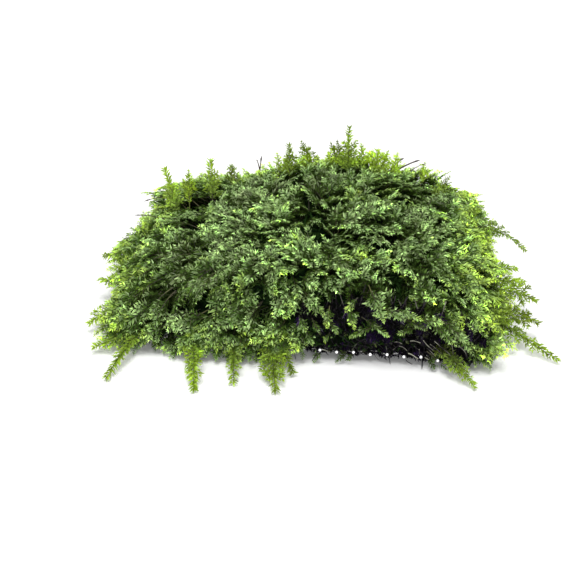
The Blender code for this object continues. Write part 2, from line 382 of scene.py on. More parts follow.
def leaf_material(name, roughness, thinness, through, specular=0.5, **tint):
    """Thin leaves: some of the light goes through them, tinted."""
    made, tree, shader = new_material(name, roughness, specular=specular)
    colour = placed(tree, LEAF_TINT, **tint)["Colour"]
    tree.links.new(colour, shader.inputs["Base Color"])
    lit = tree.nodes.new("ShaderNodeBsdfTranslucent")
    tree.links.new(mixed(tree, 0.5, colour, through), lit.inputs["Color"])
    blend = tree.nodes.new("ShaderNodeMixShader")
    blend.inputs["Fac"].default_value = thinness
    tree.links.new(shader.outputs["BSDF"], blend.inputs[1])
    tree.links.new(lit.outputs["BSDF"], blend.inputs[2])
    tree.links.new(blend.outputs["Shader"], tree.nodes["Material Output"].inputs["Surface"])
    return made


def mottled_material(name, roughness, relief, metallic=0.0, specular=0.3, rough_range=0.0, by_tone=0.0, **mottle):
    """Patches of three colours, with relief as (scale, strength, distance). by_tone lets the tone shift them."""
    made, tree, shader = new_material(name, roughness, metallic, specular)
    if by_tone:
        tone = maths(tree, "SUBTRACT", attribute(tree, "tone"), 0.5)
        mottle["shift"] = maths(tree, "MULTIPLY", tone, by_tone)
    found = placed(tree, MOTTLE, **mottle)
    tree.links.new(found["Colour"], shader.inputs["Base Color"])
    if rough_range:
        rough = maths(tree, "MULTIPLY_ADD", found["Share"], rough_range, roughness)
        tree.links.new(rough, shader.inputs["Roughness"])
    scale, strength, distance = relief
    bumps = placed(tree, RELIEF, scale=scale, strength=strength, distance=distance)
    tree.links.new(bumps["Normal"], shader.inputs["Normal"])
    return made


# In each leaf look, margin is the colour of a painted highlight on the leaves' edges and tips, and midrib shade
# darkens their middles as painted shade.
moss_leaf = leaf_material(
    "moss_leaf", 0.40, 0.24, (0.40, 0.62, 0.05), specular=0.26,
    dark=(0.006, 0.022, 0.002), middle=(0.185, 0.345, 0.085), bright=(0.50, 0.66, 0.06),
    margin=(0.74, 0.86, 0.45),
    patch_scale=85.0, patch_amount=0.25, margin_amount=0.38, midrib_shade=0.35,
)
# The moss leaf again with painted shade: a darker look without gloss, for the leaves that lie under others.
moss_leaf_painted_shade = leaf_material(
    "moss_leaf_painted_shade", 0.60, 0.20, (0.30, 0.60, 0.01), specular=0.02,
    dark=(0.003, 0.016, 0.001), middle=(0.165, 0.345, 0.052), bright=(0.46, 0.62, 0.030),
    margin=(0.60, 0.85, 0.25),
    patch_scale=85.0, patch_amount=0.40, margin_amount=0.30, midrib_shade=0.35,
)
young_leaf = leaf_material(
    "young_leaf", 0.42, 0.28, (0.50, 0.68, 0.02), specular=0.16,
    dark=(0.010, 0.028, 0.002), middle=(0.13, 0.27, 0.014), bright=(0.48, 0.68, 0.050),
    margin=(0.76, 0.90, 0.26),
    patch_scale=420.0, patch_amount=0.9, margin_amount=0.42, midrib_shade=0.50,
)
old_leaf = leaf_material(
    "old_leaf", 0.55, 0.06, (0.04, 0.03, 0.05), specular=0.03,
    dark=(0.0010, 0.0010, 0.0016), middle=(0.014, 0.003, 0.040), bright=(0.050, 0.062, 0.018),
    margin=(0.05, 0.05, 0.04),
    patch_scale=260.0, patch_amount=0.1, margin_amount=0.14, midrib_shade=0.30,
)
# Leaves on the inner mass: nearly black green, painted shade.
shaded_leaf = leaf_material(
    "shaded_leaf", 0.6, 0.08, (0.05, 0.10, 0.01), specular=0.02,
    dark=(0.001, 0.004, 0.001), middle=(0.008, 0.026, 0.004), bright=(0.045, 0.100, 0.018),
    margin=(0.05, 0.09, 0.03),
    patch_scale=260.0, patch_amount=0.7, margin_amount=0.2, midrib_shade=0.30,
)
# Stems follow their tone, so the painted shade on it darkens them too.
moss_stem = mottled_material(
    "moss_stem", 0.6, (2500.0, 0.4, 0.05 * MM), by_tone=0.5,
    scale=300.0, contrast=2.0,
    dark=(0.012, 0.010, 0.008), middle=(0.050, 0.045, 0.018), pale=(0.15, 0.17, 0.04),
)
old_stem = mottled_material(
    "old_stem", 0.8, (2200.0, 0.5, 0.06 * MM), specular=0.04, by_tone=1.3,
    scale=500.0, contrast=1.5,
    dark=(0.005, 0.004, 0.007), middle=(0.030, 0.026, 0.028), pale=(0.27, 0.27, 0.21),
)
# The inner mass's near-black: partly the old growth's own colour, partly painted shade.
inner_growth = mottled_material(
    "inner_growth", 0.9, (900.0, 0.9, 0.8 * MM), specular=0.02,
    scale=420.0, detail=4.0, contrast=4.0,
    dark=(0.001, 0.003, 0.001), middle=(0.003, 0.008, 0.002), pale=(0.009, 0.020, 0.004),
)
steel = mottled_material(
    "steel_wire", 0.16, (3000.0, 0.15, 0.02 * MM), metallic=1.0, specular=0.5, rough_range=0.3,
    scale=260.0, detail=4.0, contrast=3.0,
    dark=(0.72, 0.73, 0.74), middle=(0.60, 0.60, 0.60), pale=(0.30, 0.28, 0.24),
)
# Cut ends: near-white and not metallic, partly fresh-cut steel, partly a painted glint.
cut_steel_and_glint = mottled_material(
    "cut_steel_and_glint", 0.20, (5000.0, 0.1, 0.01 * MM), specular=0.8, rough_range=0.1,
    scale=1500.0, contrast=2.0,
    dark=(0.94, 0.94, 0.94), middle=(0.97, 0.97, 0.97), pale=(0.99, 0.99, 0.99),
)
stalk = mottled_material(
    "spore_stalk", 0.5, (2000.0, 0.3, 0.03 * MM),
    scale=380.0, contrast=2.5,
    dark=(0.012, 0.007, 0.005), middle=(0.035, 0.020, 0.010), pale=(0.075, 0.050, 0.016),
)
old_mat = mottled_material(
    "old_mat", 0.95, (1500.0, 1.0, 0.5 * MM), specular=0.15,
    scale=600.0, detail=5.0, contrast=3.5,
    dark=(0.012, 0.008, 0.006), middle=(0.045, 0.028, 0.015), pale=(0.11, 0.07, 0.035),
)
floor_white = mottled_material(
    "floor", 0.9, (40.0, 0.05, 0.1 * MM), specular=0.1,
    scale=3.0, detail=1.0, contrast=2.0,
    dark=(0.90, 0.90, 0.90), middle=(0.91, 0.91, 0.91), pale=(0.92, 0.92, 0.92),
)


# Small shapes: each is one unit long along X with its face up


def small_shape(name, bm, look):
    """A shape for the points. Its margin attribute is 1 on its outer edge and tip, 0 on its midrib."""
    mesh = bpy.data.meshes.new(name)
    margin = bm.verts.layers.float.new("margin")
    for vert in bm.verts:
        vert[margin] = 1 if abs(vert.co.y) > 0.1 or vert.co.x > 0.9 else 0
    bm.to_mesh(mesh)
    bm.free()
    mesh.materials.append(look)
    return bpy.data.objects.new(name, mesh)


def leaf_shape(name, look, half_width, widest, cup, nod):
    """A pointed leaf: two faces that meet on its midrib, cupped upwards, its tip nodding."""
    bm = bmesh.new()
    base = bm.verts.new((0, 0, 0))
    left = bm.verts.new((widest, half_width, cup))
    right = bm.verts.new((widest, -half_width, cup))
    tip = bm.verts.new((1, 0, -nod))
    for corners in ((base, right, tip), (base, tip, left)):
        bm.faces.new(corners)
    return small_shape(name, bm, look)


def joint_shape(name, look):
    """One joint of a stem: an open three-sided tube."""
    bm = bmesh.new()
    bmesh.ops.create_cone(bm, cap_ends=False, segments=3, radius1=1, radius2=0.9, depth=1)
    bmesh.ops.rotate(bm, verts=bm.verts, matrix=Matrix.Rotation(math.pi / 2, 3, "Y"))
    bmesh.ops.translate(bm, verts=bm.verts, vec=(0.5, 0, 0))
    return small_shape(name, bm, look)


JOINT = 3  # a stem joint's place in a set
# The leaves in shade are copies with painted shade.
DEEP = 4  # added to a leaf's place when it lies in shade
LEAF_SHAPES = (
    # name, half width, where it is widest, how cupped, how far its tip nods
    ("broad", 0.16, 0.40, 0.08, 0.14),
    ("cupped", 0.14, 0.38, 0.13, 0.26),
    ("narrow", 0.12, 0.40, 0.05, 0.00),
)


def three_leaves(name, look, first, depth=""):
    """One leaf of each shape, numbered from first."""
    return [
        leaf_shape(f"{name}_{number}_{depth}{label}", look, *form)
        for number, (label, *form) in enumerate(LEAF_SHAPES, first)
    ]


def shape_set(name, leaf_look, stem_look, painted_shade_look):
    """Three leaves, a stem joint and the same leaves with painted shade. Points choose one by its place in this
    order.
    """
    made = bpy.data.collections.new(name)
    bpy.context.scene.collection.children.link(made)
    for shape in (
        *three_leaves(name, leaf_look, 1),
        joint_shape(f"{name}_{1 + JOINT}_joint", stem_look),
        *three_leaves(name, painted_shade_look, 1 + DEEP, "deep_"),
    ):
        made.objects.link(shape)
    return made


def cut_end(order):
    """The middle of a short wire's cut end at the front."""
    x = WIRE_PITCH * (order - CELLS_WIDE / 2)
    half = WIRE_PITCH * CELLS_DEEP / 2
    height = woven_height(-half, CELLS_DEEP, order + 1) * STUB_WAVE
    return np.array([x, -half - WIRE_STUB, WIRE_HEIGHT + height - droop(x)])


class Growth:
    """Leaves and stem joints gathered for one piece, as points with a turn and a size."""

    def __init__(self, seed, variety=0.36):
        self.random = np.random.default_rng(seed)
        self.variety = variety
        self.parts = []

    def add(self, place, along, facing, size, fresh, tone, kind):
        """Shapes at place, along one direction and facing another. Sizes are (length, width, depth)."""
        count = len(place)
        x = unit(along)
        z = unit(facing - dot(facing, x) * x)
        y = np.cross(z, x)
        turn = np.stack(
            [np.arctan2(y[:, 2], z[:, 2]), np.arcsin(np.clip(-x[:, 2], -1, 1)), np.arctan2(x[:, 1], x[:, 0])], 1
        )
        fresh, tone, kind = (np.broadcast_to(value, (count,)) for value in (fresh, tone, kind))
        self.parts.append((place, turn, size, fresh, tone, kind, place + x * size[:, :1]))

    def leaves(self, place, along, facing, length, fresh, tone, fullness=0.3):
        """Two rows of leaves beside a stem, and more on its face: fullness is that row's share."""
        count = len(place)
        side = np.cross(facing, along)
        for hand in (-1, 1):
            angle = np.radians(self.random.normal(LEAF_ANGLE, 9, (count, 1)))
            lift = self.random.normal(0.10, 0.18, (count, 1))
            direction = np.cos(angle) * along + hand * np.sin(angle) * side + lift * facing
            tilt = self.random.normal(0.25, 0.45, (count, 1))
            face = facing - hand * tilt * side + self.random.normal(0, 0.22, (count, 3))
            self.leaf_row(place, direction, face, length, fresh, tone)
        for way, share in ((1, fullness), (-1, fullness - 0.5)):
            chosen = self.random.random(count) < share
            n = int(chosen.sum())
            if n:
                angle = np.radians(self.random.normal(32, 10, (n, 1)))
                sway = self.random.normal(0, 0.35, (n, 1))
                direction = np.cos(angle) * along[chosen] + way * np.sin(angle) * facing[chosen] + sway * side[chosen]
                face = way * facing[chosen] - 0.5 * along[chosen]
                self.leaf_row(place[chosen], direction, face, length[chosen] * 0.85, fresh[chosen], tone[chosen])

    def leaf_row(self, place, direction, face, length, fresh, tone):
        count = len(place)
        long = length * self.random.normal(1, 0.11, count)
        wide = long * self.random.normal(1.0, 0.12, count)
        size = np.stack([long, wide, long], 1)
        own = tone * np.exp(self.random.normal(0, self.variety, count))
        kind = self.random.choice(3, count, p=(0.45, 0.3, 0.25))
        self.add(place, direction, face, size, fresh + self.random.normal(0, 0.06, count), own, kind)

    def stem(self, line, radius, fresh, tone):
        """A stem through the points of a line, tapering from radius[0] to radius[1]."""
        along = line[1:] - line[:-1]
        long = np.linalg.norm(along, axis=1)
        thick = np.linspace(*radius, len(long))
        facing = np.broadcast_to((0.1, 0.2, 1.0), along.shape)
        self.add(line[:-1], along, facing, np.stack([long * 1.05, thick, thick], 1), fresh, tone, JOINT)

    def strand(self, start, middle, end, count, radius, fresh, tone):
        """A stem along a curve, through count points."""
        line, _ = bend(start, middle, end, np.linspace(0, 1, count))
        self.stem(line, radius, fresh, tone)

    def gathered(self):
        """All the points, without those that would hide a cut wire end from the front."""
        *columns, tip = (np.concatenate(column) for column in zip(*self.parts))
        outward = unit(TO_CAMERA)
        kept = np.ones(len(tip), bool)
        for order in BRIGHT_ENDS:
            end = cut_end(order)
            for share in (0.0, 0.5, 1.0):
                place = mix(columns[0], tip, share) - end
                ahead = place @ outward
                away = np.linalg.norm(place - ahead[:, None] * outward, axis=1)
                kept &= (ahead < 0.02 * MM) | (away > CLEAR_RADIUS)
        return [column[kept] for column in columns]


def bend(root, middle, tip, shares):
    """Places and directions along a quadratic curve."""
    s = shares[:, None]
    place = (1 - s) ** 2 * root + 2 * s * (1 - s) * middle + s**2 * tip
    along = 2 * (1 - s) * (middle - root) + 2 * s * (tip - middle)
    return place, unit(along)


def leaf_sizes(share, taper):
    """Leaf length along a stem, over the full length: full along most of it, smaller by taper at the tip."""
    return (0.62 + 0.38 * smoothstep(0, 0.15, share)) * (1 - taper * smoothstep(0.7, 1, share))


def leafy_line(growth, root, middle, tip, facing, leafy_from, leaf, fresh, tone, fullness=0.3, taper=0.5):
    """A stem with leaves down both sides. fresh and tone are (value at the base, at the tip)."""
    length = np.linalg.norm(tip - middle) + np.linalg.norm(middle - root)
    count = max(int(length * (1 - leafy_from) / LEAF_SPACING * (LEAF_LENGTH / leaf)), 2)
    shares = np.linspace(leafy_from, 0.99, count)
    place, along = bend(root, middle, tip, shares)
    face = np.broadcast_to(facing, place.shape)
    face = unit(face - dot(face, along) * along)
    share = (shares - leafy_from) / (1 - leafy_from)
    age, shade = mix(*fresh, share), mix(*tone, share)
    growth.leaves(place, along, face, leaf * leaf_sizes(share, taper), age, shade, fullness)
    growth.leaf_row(place[-1:], along[-1:], face[-1:], np.array([leaf * 0.6]), age[-1:], shade[-1:])


def frond(
    growth, root, middle, tip, *, leafy_from, leaf, fresh, tone, step, spread, droop, facing,
    fullness=0.3, twigs_to=0.93, blunt=0,
):
    """A branched frond: a main stem with side branches, one for each half step, that reach out by
    spread and shorten towards its tip, or hardly where it is blunt. Its leaves start at the share
    leafy_from and its branches end at twigs_to. fresh and tone are (at the base, at the tip)."""
    rng = growth.random
    length = np.linalg.norm(tip - middle) + np.linalg.norm(middle - root)
    growth.strand(root, middle, tip, 8, (STEM_RADIUS * 1.5, STEM_RADIUS * 0.7), fresh[0], tone[0])
    leafy_line(growth, root, middle, tip, facing, leafy_from, leaf, fresh, tone, fullness, 0.5 - 0.4 * blunt)
    step /= length
    share = leafy_from + rng.uniform(0, step)
    hand = rng.choice((-1, 1))
    while share < twigs_to:
        start, along = (found[0] for found in bend(root, middle, tip, np.array([share])))
        face = unit(facing - dot(facing, along) * along)
        side = np.cross(face, along) * hand
        place = (share - leafy_from) / (1 - leafy_from)
        full = math.sin(math.pi * min(0.22 + 0.62 * (1 - place) ** 0.8, 1) / 1.48)
        reach = spread * full * (1 - place) ** (0.55 - 0.35 * blunt) * rng.normal(1, 0.14)
        if reach > 0.8 * MM:
            angle = math.radians(rng.normal(55, 8))
            out = math.cos(angle) * along + math.sin(angle) * side + rng.normal(0.04, 0.16) * face
            turned = unit(out + 0.35 * along - droop * face)
            elbow = start + unit(out) * reach * 0.5
            end = elbow + turned * reach * 0.5
            growth.strand(start, elbow, end, 3, (STEM_RADIUS * 0.8, STEM_RADIUS * 0.5), fresh[0], tone[0])
            age, shade = mix(*fresh, place), mix(*tone, place)
            ages = (age - 0.04, age + 0.14)
            own = math.exp(rng.normal(0.05, 0.20))
            # Each side branch is darker at its base than at its tip: painted shade where it joins the stem, times its
            # own random tone.
            shades = (shade * 0.6 * own, mix(shade, tone[1], 0.6) * 1.1 * own)
            roll = unit(face + side * rng.normal(0.1, 0.28))
            leafy_line(growth, start, elbow, end, roll, 0.12, leaf * 0.94, ages, shades, fullness)
        hand = -hand
        share += step * rng.normal(0.5, 0.06)


def scatter_tree():
    """Geometry nodes that set a shape on each point and join them all."""
    tree = bpy.data.node_groups.new("set_shapes", "GeometryNodeTree")
    for label, way, kind in (
        ("Geometry", "INPUT", "Geometry"), ("Shapes", "INPUT", "Collection"), ("Geometry", "OUTPUT", "Geometry")
    ):
        tree.interface.new_socket(label, in_out=way, socket_type=f"NodeSocket{kind}")
    start = tree.nodes.new("NodeGroupInput")
    end = tree.nodes.new("NodeGroupOutput")
    shapes = tree.nodes.new("GeometryNodeCollectionInfo")
    shapes.inputs["Separate Children"].default_value = True
    shapes.inputs["Reset Children"].default_value = True
    setting = tree.nodes.new("GeometryNodeInstanceOnPoints")
    setting.inputs["Pick Instance"].default_value = True
    joining = tree.nodes.new("GeometryNodeRealizeInstances")
    turning = tree.nodes.new("FunctionNodeEulerToRotation")
    link = tree.links.new
    link(start.outputs["Shapes"], shapes.inputs["Collection"])
    link(start.outputs["Geometry"], setting.inputs["Points"])
    link(shapes.outputs["Instances"], setting.inputs["Instance"])
    for name, data_type, target in (
        ("kind", "INT", setting.inputs["Instance Index"]),
        ("turn", "FLOAT_VECTOR", turning.inputs["Euler"]),
        ("size", "FLOAT_VECTOR", setting.inputs["Scale"]),
    ):
        reading = tree.nodes.new("GeometryNodeInputNamedAttribute")
        reading.data_type = data_type
        reading.inputs["Name"].default_value = name
        link(reading.outputs["Attribute"], target)
    link(turning.outputs["Rotation"], setting.inputs["Rotation"])
    link(setting.outputs["Instances"], joining.inputs["Geometry"])
    link(joining.outputs["Geometry"], end.inputs["Geometry"])
    return tree


SET_SHAPES = scatter_tree()


def finished(made, look_slot, *nodes):
    """Puts a piece on the clump's body and hides the solids that it stands for. look_slot is not used."""
    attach(made, "root")
    if nodes:
        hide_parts(*nodes)
    return made


def new_piece(name, mesh, *looks):
    """An object in the scene for a mesh, with its materials."""
    mesh.name = name
    mesh.materials.clear()
    for look in looks:
        mesh.materials.append(look)
    made = bpy.data.objects.new(name, mesh)
    bpy.context.scene.collection.objects.link(made)
    return made


def from_bmesh(name, bm, *looks):
    mesh = bpy.data.meshes.new(name)
    bm.to_mesh(mesh)
    bm.free()
    mesh.shade_smooth()
    return new_piece(name, mesh, *looks)


def evaluated_mesh(thing):
    """The mesh that an object's modifiers or its bevel make."""
    depsgraph = bpy.context.evaluated_depsgraph_get()
    return bpy.data.meshes.new_from_object(thing.evaluated_get(depsgraph), depsgraph=depsgraph)


def nodes_named(start):
    return sorted(name for name in frame["nodes"] if name.startswith(start))


def grown(name, growth, shapes):
    """Joins a growth's points into one mesh object."""
    place, turn, size, fresh, tone, kind = growth.gathered()
    points = bpy.data.meshes.new(name)
    points.vertices.add(len(place))
    points.vertices.foreach_set("co", place.ravel())
    for label, kind_of, key, values in (
        ("turn", "FLOAT_VECTOR", "vector", turn),
        ("size", "FLOAT_VECTOR", "vector", size),
        ("fresh", "FLOAT", "value", fresh),
        ("tone", "FLOAT", "value", tone),
        ("kind", "INT", "value", kind),
    ):
        layer = points.attributes.new(label, kind_of, "POINT")
        layer.data.foreach_set(key, np.ascontiguousarray(values).ravel())
    made = bpy.data.objects.new(name, points)
    bpy.context.scene.collection.objects.link(made)
    setting = made.modifiers.new("set_shapes", "NODES")
    setting.node_group = SET_SHAPES
    socket = next(item for item in SET_SHAPES.interface.items_tree if item.name == "Shapes")
    setting[socket.identifier] = shapes
    mesh = evaluated_mesh(made)
    made.modifiers.clear()
    made.data = mesh
    mesh.name = name
    bpy.data.meshes.remove(points)
    for label in ("turn", "size", "kind"):
        if label in mesh.attributes:
            mesh.attributes.remove(mesh.attributes[label])
    places = np.empty(len(mesh.vertices) * 3, np.float32)
    mesh.vertices.foreach_get("co", places)
    heights = places[2::3]
    low = heights < FLOOR_CLEARANCE
    heights[low] = FLOOR_CLEARANCE + 0.02 * (heights[low] - FLOOR_CLEARANCE).clip(-FLOOR_CLEARANCE, 0)
    mesh.vertices.foreach_set("co", places)
    mesh.update()
    mesh.shade_flat()
    return made


# Cushion


def merged_copy(node_name):
    bm = bmesh.new()
    bm.from_mesh(frame["nodes"][node_name].data)
    bmesh.ops.remove_doubles(bm, verts=bm.verts, dist=1e-6)
    return bm


def soft_normal(place):
    """Which way the cushion faces there, without its lumps."""
    away = Vector(place) - MIDDLE
    steep = Vector()
    for axis, half in enumerate((HALF_WIDTH, HALF_DEPTH, PEAK_HEIGHT)):
        steep[axis] = math.copysign(abs(away[axis] / half) ** ROUNDNESS, away[axis]) / half
    steep.z = abs(steep.z)
    return np.array(steep.normalized())


def bare_top(x):
    return float(np.interp(x / MM, BARE_ACROSS, BARE_TOPS)) * MM


def bare(place):
    """True in the stretch at the front right where old growth shows above the cut wires."""
    return BARE_FROM < place[0] < BARE_TO and place[1] < BARE_FRONT and place[2] < bare_top(place[0])


def spots_sum(spots, place):
    """Adds up smooth spots on the plan: (across, deep, half width, half depth, amount or nothing for 1)."""
    x, y = place[0] / MM, place[1] / MM
    return sum(
        math.exp(-(((x - a) / w) ** 2) - ((y - b) / d) ** 2) * (amount[0] if amount else 1)
        for a, b, w, d, *amount in spots
    )


HOLLOW_PLACES = np.array([spot[:3] for spot in HOLLOWS])
HOLLOW_SIZES = np.array([spot[3:] for spot in HOLLOWS])
HOLLOW_WAYS = np.array([soft_normal(Vector(spot[:3]) * MM) for spot in HOLLOWS])


def hollow_share(place):
    """1 in the middle of a hollow and 0 away from them all, however deep the place lies in it."""
    away = place / MM - HOLLOW_PLACES
    depth = dot(away, HOLLOW_WAYS)
    beside = away - depth * HOLLOW_WAYS
    along = np.sum(beside[:, 1:] ** 2, axis=1)
    share = np.exp(-((beside[:, 0] / HOLLOW_SIZES[:, 0]) ** 2) - along / HOLLOW_SIZES[:, 1] ** 2)
    return float(np.max(share * (np.abs(depth[:, 0]) < HOLLOW_REACH)))


def surface_faces(bm):
    """Corners and directions of the faces that don't look down, put in order of place: the same in every run."""
    bmesh.ops.triangulate(bm, faces=bm.faces)
    bm.normal_update()
    found = sorted(
        (sorted(tuple(round(value, 7) for value in vert.co) for vert in face.verts), tuple(face.normal))
        for face in bm.faces
        if face.normal.z > -0.5
    )
    return np.array([corners for corners, _ in found]), np.array([facing for _, facing in found])


def face_areas(corners):
    return np.linalg.norm(np.cross(corners[:, 1] - corners[:, 0], corners[:, 2] - corners[:, 0]), axis=1) / 2


def surface_places(corners, facing, count, rng):
    """Random places over those faces, evenly by area, with the faces' own directions."""
    weights = face_areas(corners)
    picks = rng.choice(len(corners), count, p=weights / weights.sum())
    a, b = rng.random((2, count, 1))
    over = a + b > 1
    a, b = np.where(over, 1 - a, a), np.where(over, 1 - b, b)
    chosen = corners[picks]
    return chosen[:, 0] + a * (chosen[:, 1] - chosen[:, 0]) + b * (chosen[:, 2] - chosen[:, 0]), facing[picks]


def outer_places(spacing, seed):
    """Places spread over the outside of the cushion's solid, at least spacing apart."""
    bm = merged_copy("moss_cushion")
    corners, facing = surface_faces(bm)
    bm.free()
    middle = corners.mean(1)
    inward = facing[:, 0] * middle[:, 0] + facing[:, 1] * middle[:, 1] < 0
    outer = (middle[:, 2] > 6 * MM) | ~inward
    corners, facing = corners[outer], facing[outer]
    count = int(face_areas(corners).sum() / spacing**2 * TRIES)
    tried, _ = surface_places(corners, facing, count, np.random.default_rng(seed))
    kept = np.empty((0, 3))
    for place in tried:
        if not len(kept) or np.min(np.sum((kept - place) ** 2, axis=1)) > spacing**2:
            kept = np.vstack([kept, place])
    return kept


def rim_share(place):
    """0 in the middle of the cushion and 1 at its back and sides, less at the front."""
    across = abs(place[0] - MIDDLE.x) / HALF_WIDTH
    deep = (place[1] - MIDDLE.y) / HALF_DEPTH
    back = smoothstep(0.38, 0.72, deep)
    front = 0.30 * smoothstep(0.6, 1.0, -deep)
    sides = smoothstep(0.60, 1.04, across)
    return float(max(back, front, sides))


def middle_line(node_name, count=9):
    """Points down the middle of a shoot's solid, from its base to its tip."""
    mesh = frame["nodes"][node_name].data
    places = np.empty(len(mesh.vertices) * 3)
    mesh.vertices.foreach_get("co", places)
    places = places.reshape(-1, 3)
    centre = places.mean(0)
    towards = np.linalg.svd(places - centre, full_matrices=False)[2][0]
    share = (places - centre) @ towards
    share = (share - share.min()) / np.ptp(share)
    away = (np.abs(share - at) for at in np.linspace(0, 1, count))
    line = np.array([places[off <= off.min() + 0.045].mean(0) for off in away])
    start = np.array(MIDDLE) + mm(0, 0, 6)
    if np.linalg.norm(line[0] - start) > np.linalg.norm(line[-1] - start):
        line = line[::-1]
    return line


SHOOT_FEET = [middle_line(name)[0] + mm(0, 0, 3) for name in nodes_named("shoot")]


def by_a_shoot(place):
    """1 beside the foot of a long shoot and 0 away from them all."""
    return min(sum(math.exp(-np.sum((place - foot) ** 2) / FOOT_REACH**2) for foot in SHOOT_FEET), 1)


def cushion_frond(growth, place):
    """One frond whose tip lies near that place on the cushion's outside."""
    rng = growth.random
    gap = noise.noise(Vector((place[0] / 5.5, place[1] / 3.4, place[2] / 2.8)) / MM + Vector((3, 8, 5)))
    rim = rim_share(place)
    sunk = hollow_share(place)
    if rng.random() < 0.9 * sunk + 0.7 * (1 - 0.4 * rim) * smoothstep(0.32, 0.50, gap):
        return
    top = float(smoothstep(10 * MM, 15 * MM, place[2]))
    pale = min(spots_sum(PALE_TUFTS, place), 1) * top
    young = by_a_shoot(place)
    out = soft_normal(place)
    up = np.array((0, 0, 1.0))
    flat = unit([place[0] - MIDDLE.x, place[1] - MIDDLE.y, 0.0])
    steep = 1 - out[2]
    swell = noise.noise(Vector(place) / (5 * MM)) + 0.4 * noise.noise(Vector(place) / (2.5 * MM))
    combed = np.array(noise.noise_vector(Vector(place) / (12 * MM))) * (1.5 - 0.6 * steep)
    towards = flat * (0.45 + 0.75 * steep) - up * 0.55 * steep + combed + rng.normal(0, 0.3, 3)
    towards = unit(towards - np.dot(towards, out) * out)
    stance = rng.uniform(0.15, 0.50) + 0.15 * rim
    ending = unit(out * stance + towards * (1 - stance))
    starting = unit(out * 0.95 + towards * 0.25)
    length = rng.uniform(10, 14) * MM
    depth = rng.uniform(-1.5, 1.0) + 0.8 * swell
    rise = (0.3 + depth + rim * (0.2 + 4.6 * rng.random() ** 2) - 1.0 * sunk + 1.2 * pale) * MM
    flat_out = unit([out[0], out[1], 0.0])
    tip = place + ending * rise + flat_out * spots_sum(BULGES, place) * MM
    over_bare = BARE_FROM < place[0] < BARE_TO and place[1] < -26 * MM and place[2] < bare_top(place[0]) + 6 * MM
    if over_bare:
        tip[2] = max(tip[2], place[2] - 0.8 * MM)
        ending = unit(ending * np.array([1, 1, 0.35]))
    middle = tip - ending * length * 0.5
    root = middle - starting * length * 0.5
    if rng.random() < 0.85 * hollow_share(mix(tip, middle, 0.6)):
        return
    root[2], middle[2], tip[2] = max(root[2], 2.5 * MM), max(middle[2], 1.6 * MM), max(tip[2], 0.9 * MM)
    roll = math.radians(rng.normal(0, 26))
    face = unit((out + 0.25 * up) - np.dot(out + 0.25 * up, ending) * ending)
    facing = math.cos(roll) * face + math.sin(roll) * np.cross(face, ending)
    patch = noise.noise(Vector(place) / (16 * MM))
    # Fresher and yellower towards the rim: partly younger growth, partly painted light where the back light shines
    # through the leaves.
    fresh_tip = 0.40 + 0.36 * rim + 0.15 * patch + 0.14 * swell + 0.14 * pale + 0.12 * young + rng.normal(0, 0.08)
    fresh_tip = min(fresh_tip + 0.07 * float(smoothstep(8 * MM, 40 * MM, place[0])), 0.80)
    # Painted shade: fronds that stand lower, that lie in hollows and that lie on the spots are darker; spots below 0
    # paint light.
    painted_shade_amount = min(spots_sum(PAINTED_SHADE_AND_LIGHT_SPOTS, place), 1) * (1 - 0.25 * rim)
    tone = 1.29 + 0.20 * depth + 0.12 * pale + 0.05 * rim - 0.5 * sunk - 0.45 * painted_shade_amount - 0.25 * young
    tone = float(np.clip(tone, 0.3, 1.7)) * math.exp(rng.normal(0, 0.18))
    # Each frond's tone runs from dark at its base, under the others, to bright at its tip: partly older leaves,
    # partly painted shade.
    frond(
        growth, root, middle, tip, facing=facing, leafy_from=0.3, leaf=LEAF_LENGTH * rng.uniform(0.85, 1.15),
        fresh=(fresh_tip - 0.34, fresh_tip + 0.1), tone=(tone * 0.30, tone * 1.25),
        step=rng.uniform(1.9, 2.5) * MM, spread=rng.uniform(2.4, 4.0) * MM, droop=rng.uniform(0.0, 0.4),
    )


def region(place):
    """Which piece of the cushion a place belongs to."""
    if place[2] > 21 * MM or (place[2] > 17 * MM and place[1] > -12 * MM):
        return "top_left" if place[0] < 6 * MM else "top_right"
    across, deep = (place[0] - MIDDLE.x) / HALF_WIDTH, (place[1] - MIDDLE.y) / HALF_DEPTH
    if abs(deep) > abs(across):
        if deep < 0:
            return "front_left" if place[0] < 0 else "front_right"
        return "back"
    return "left" if across < 0 else "right"


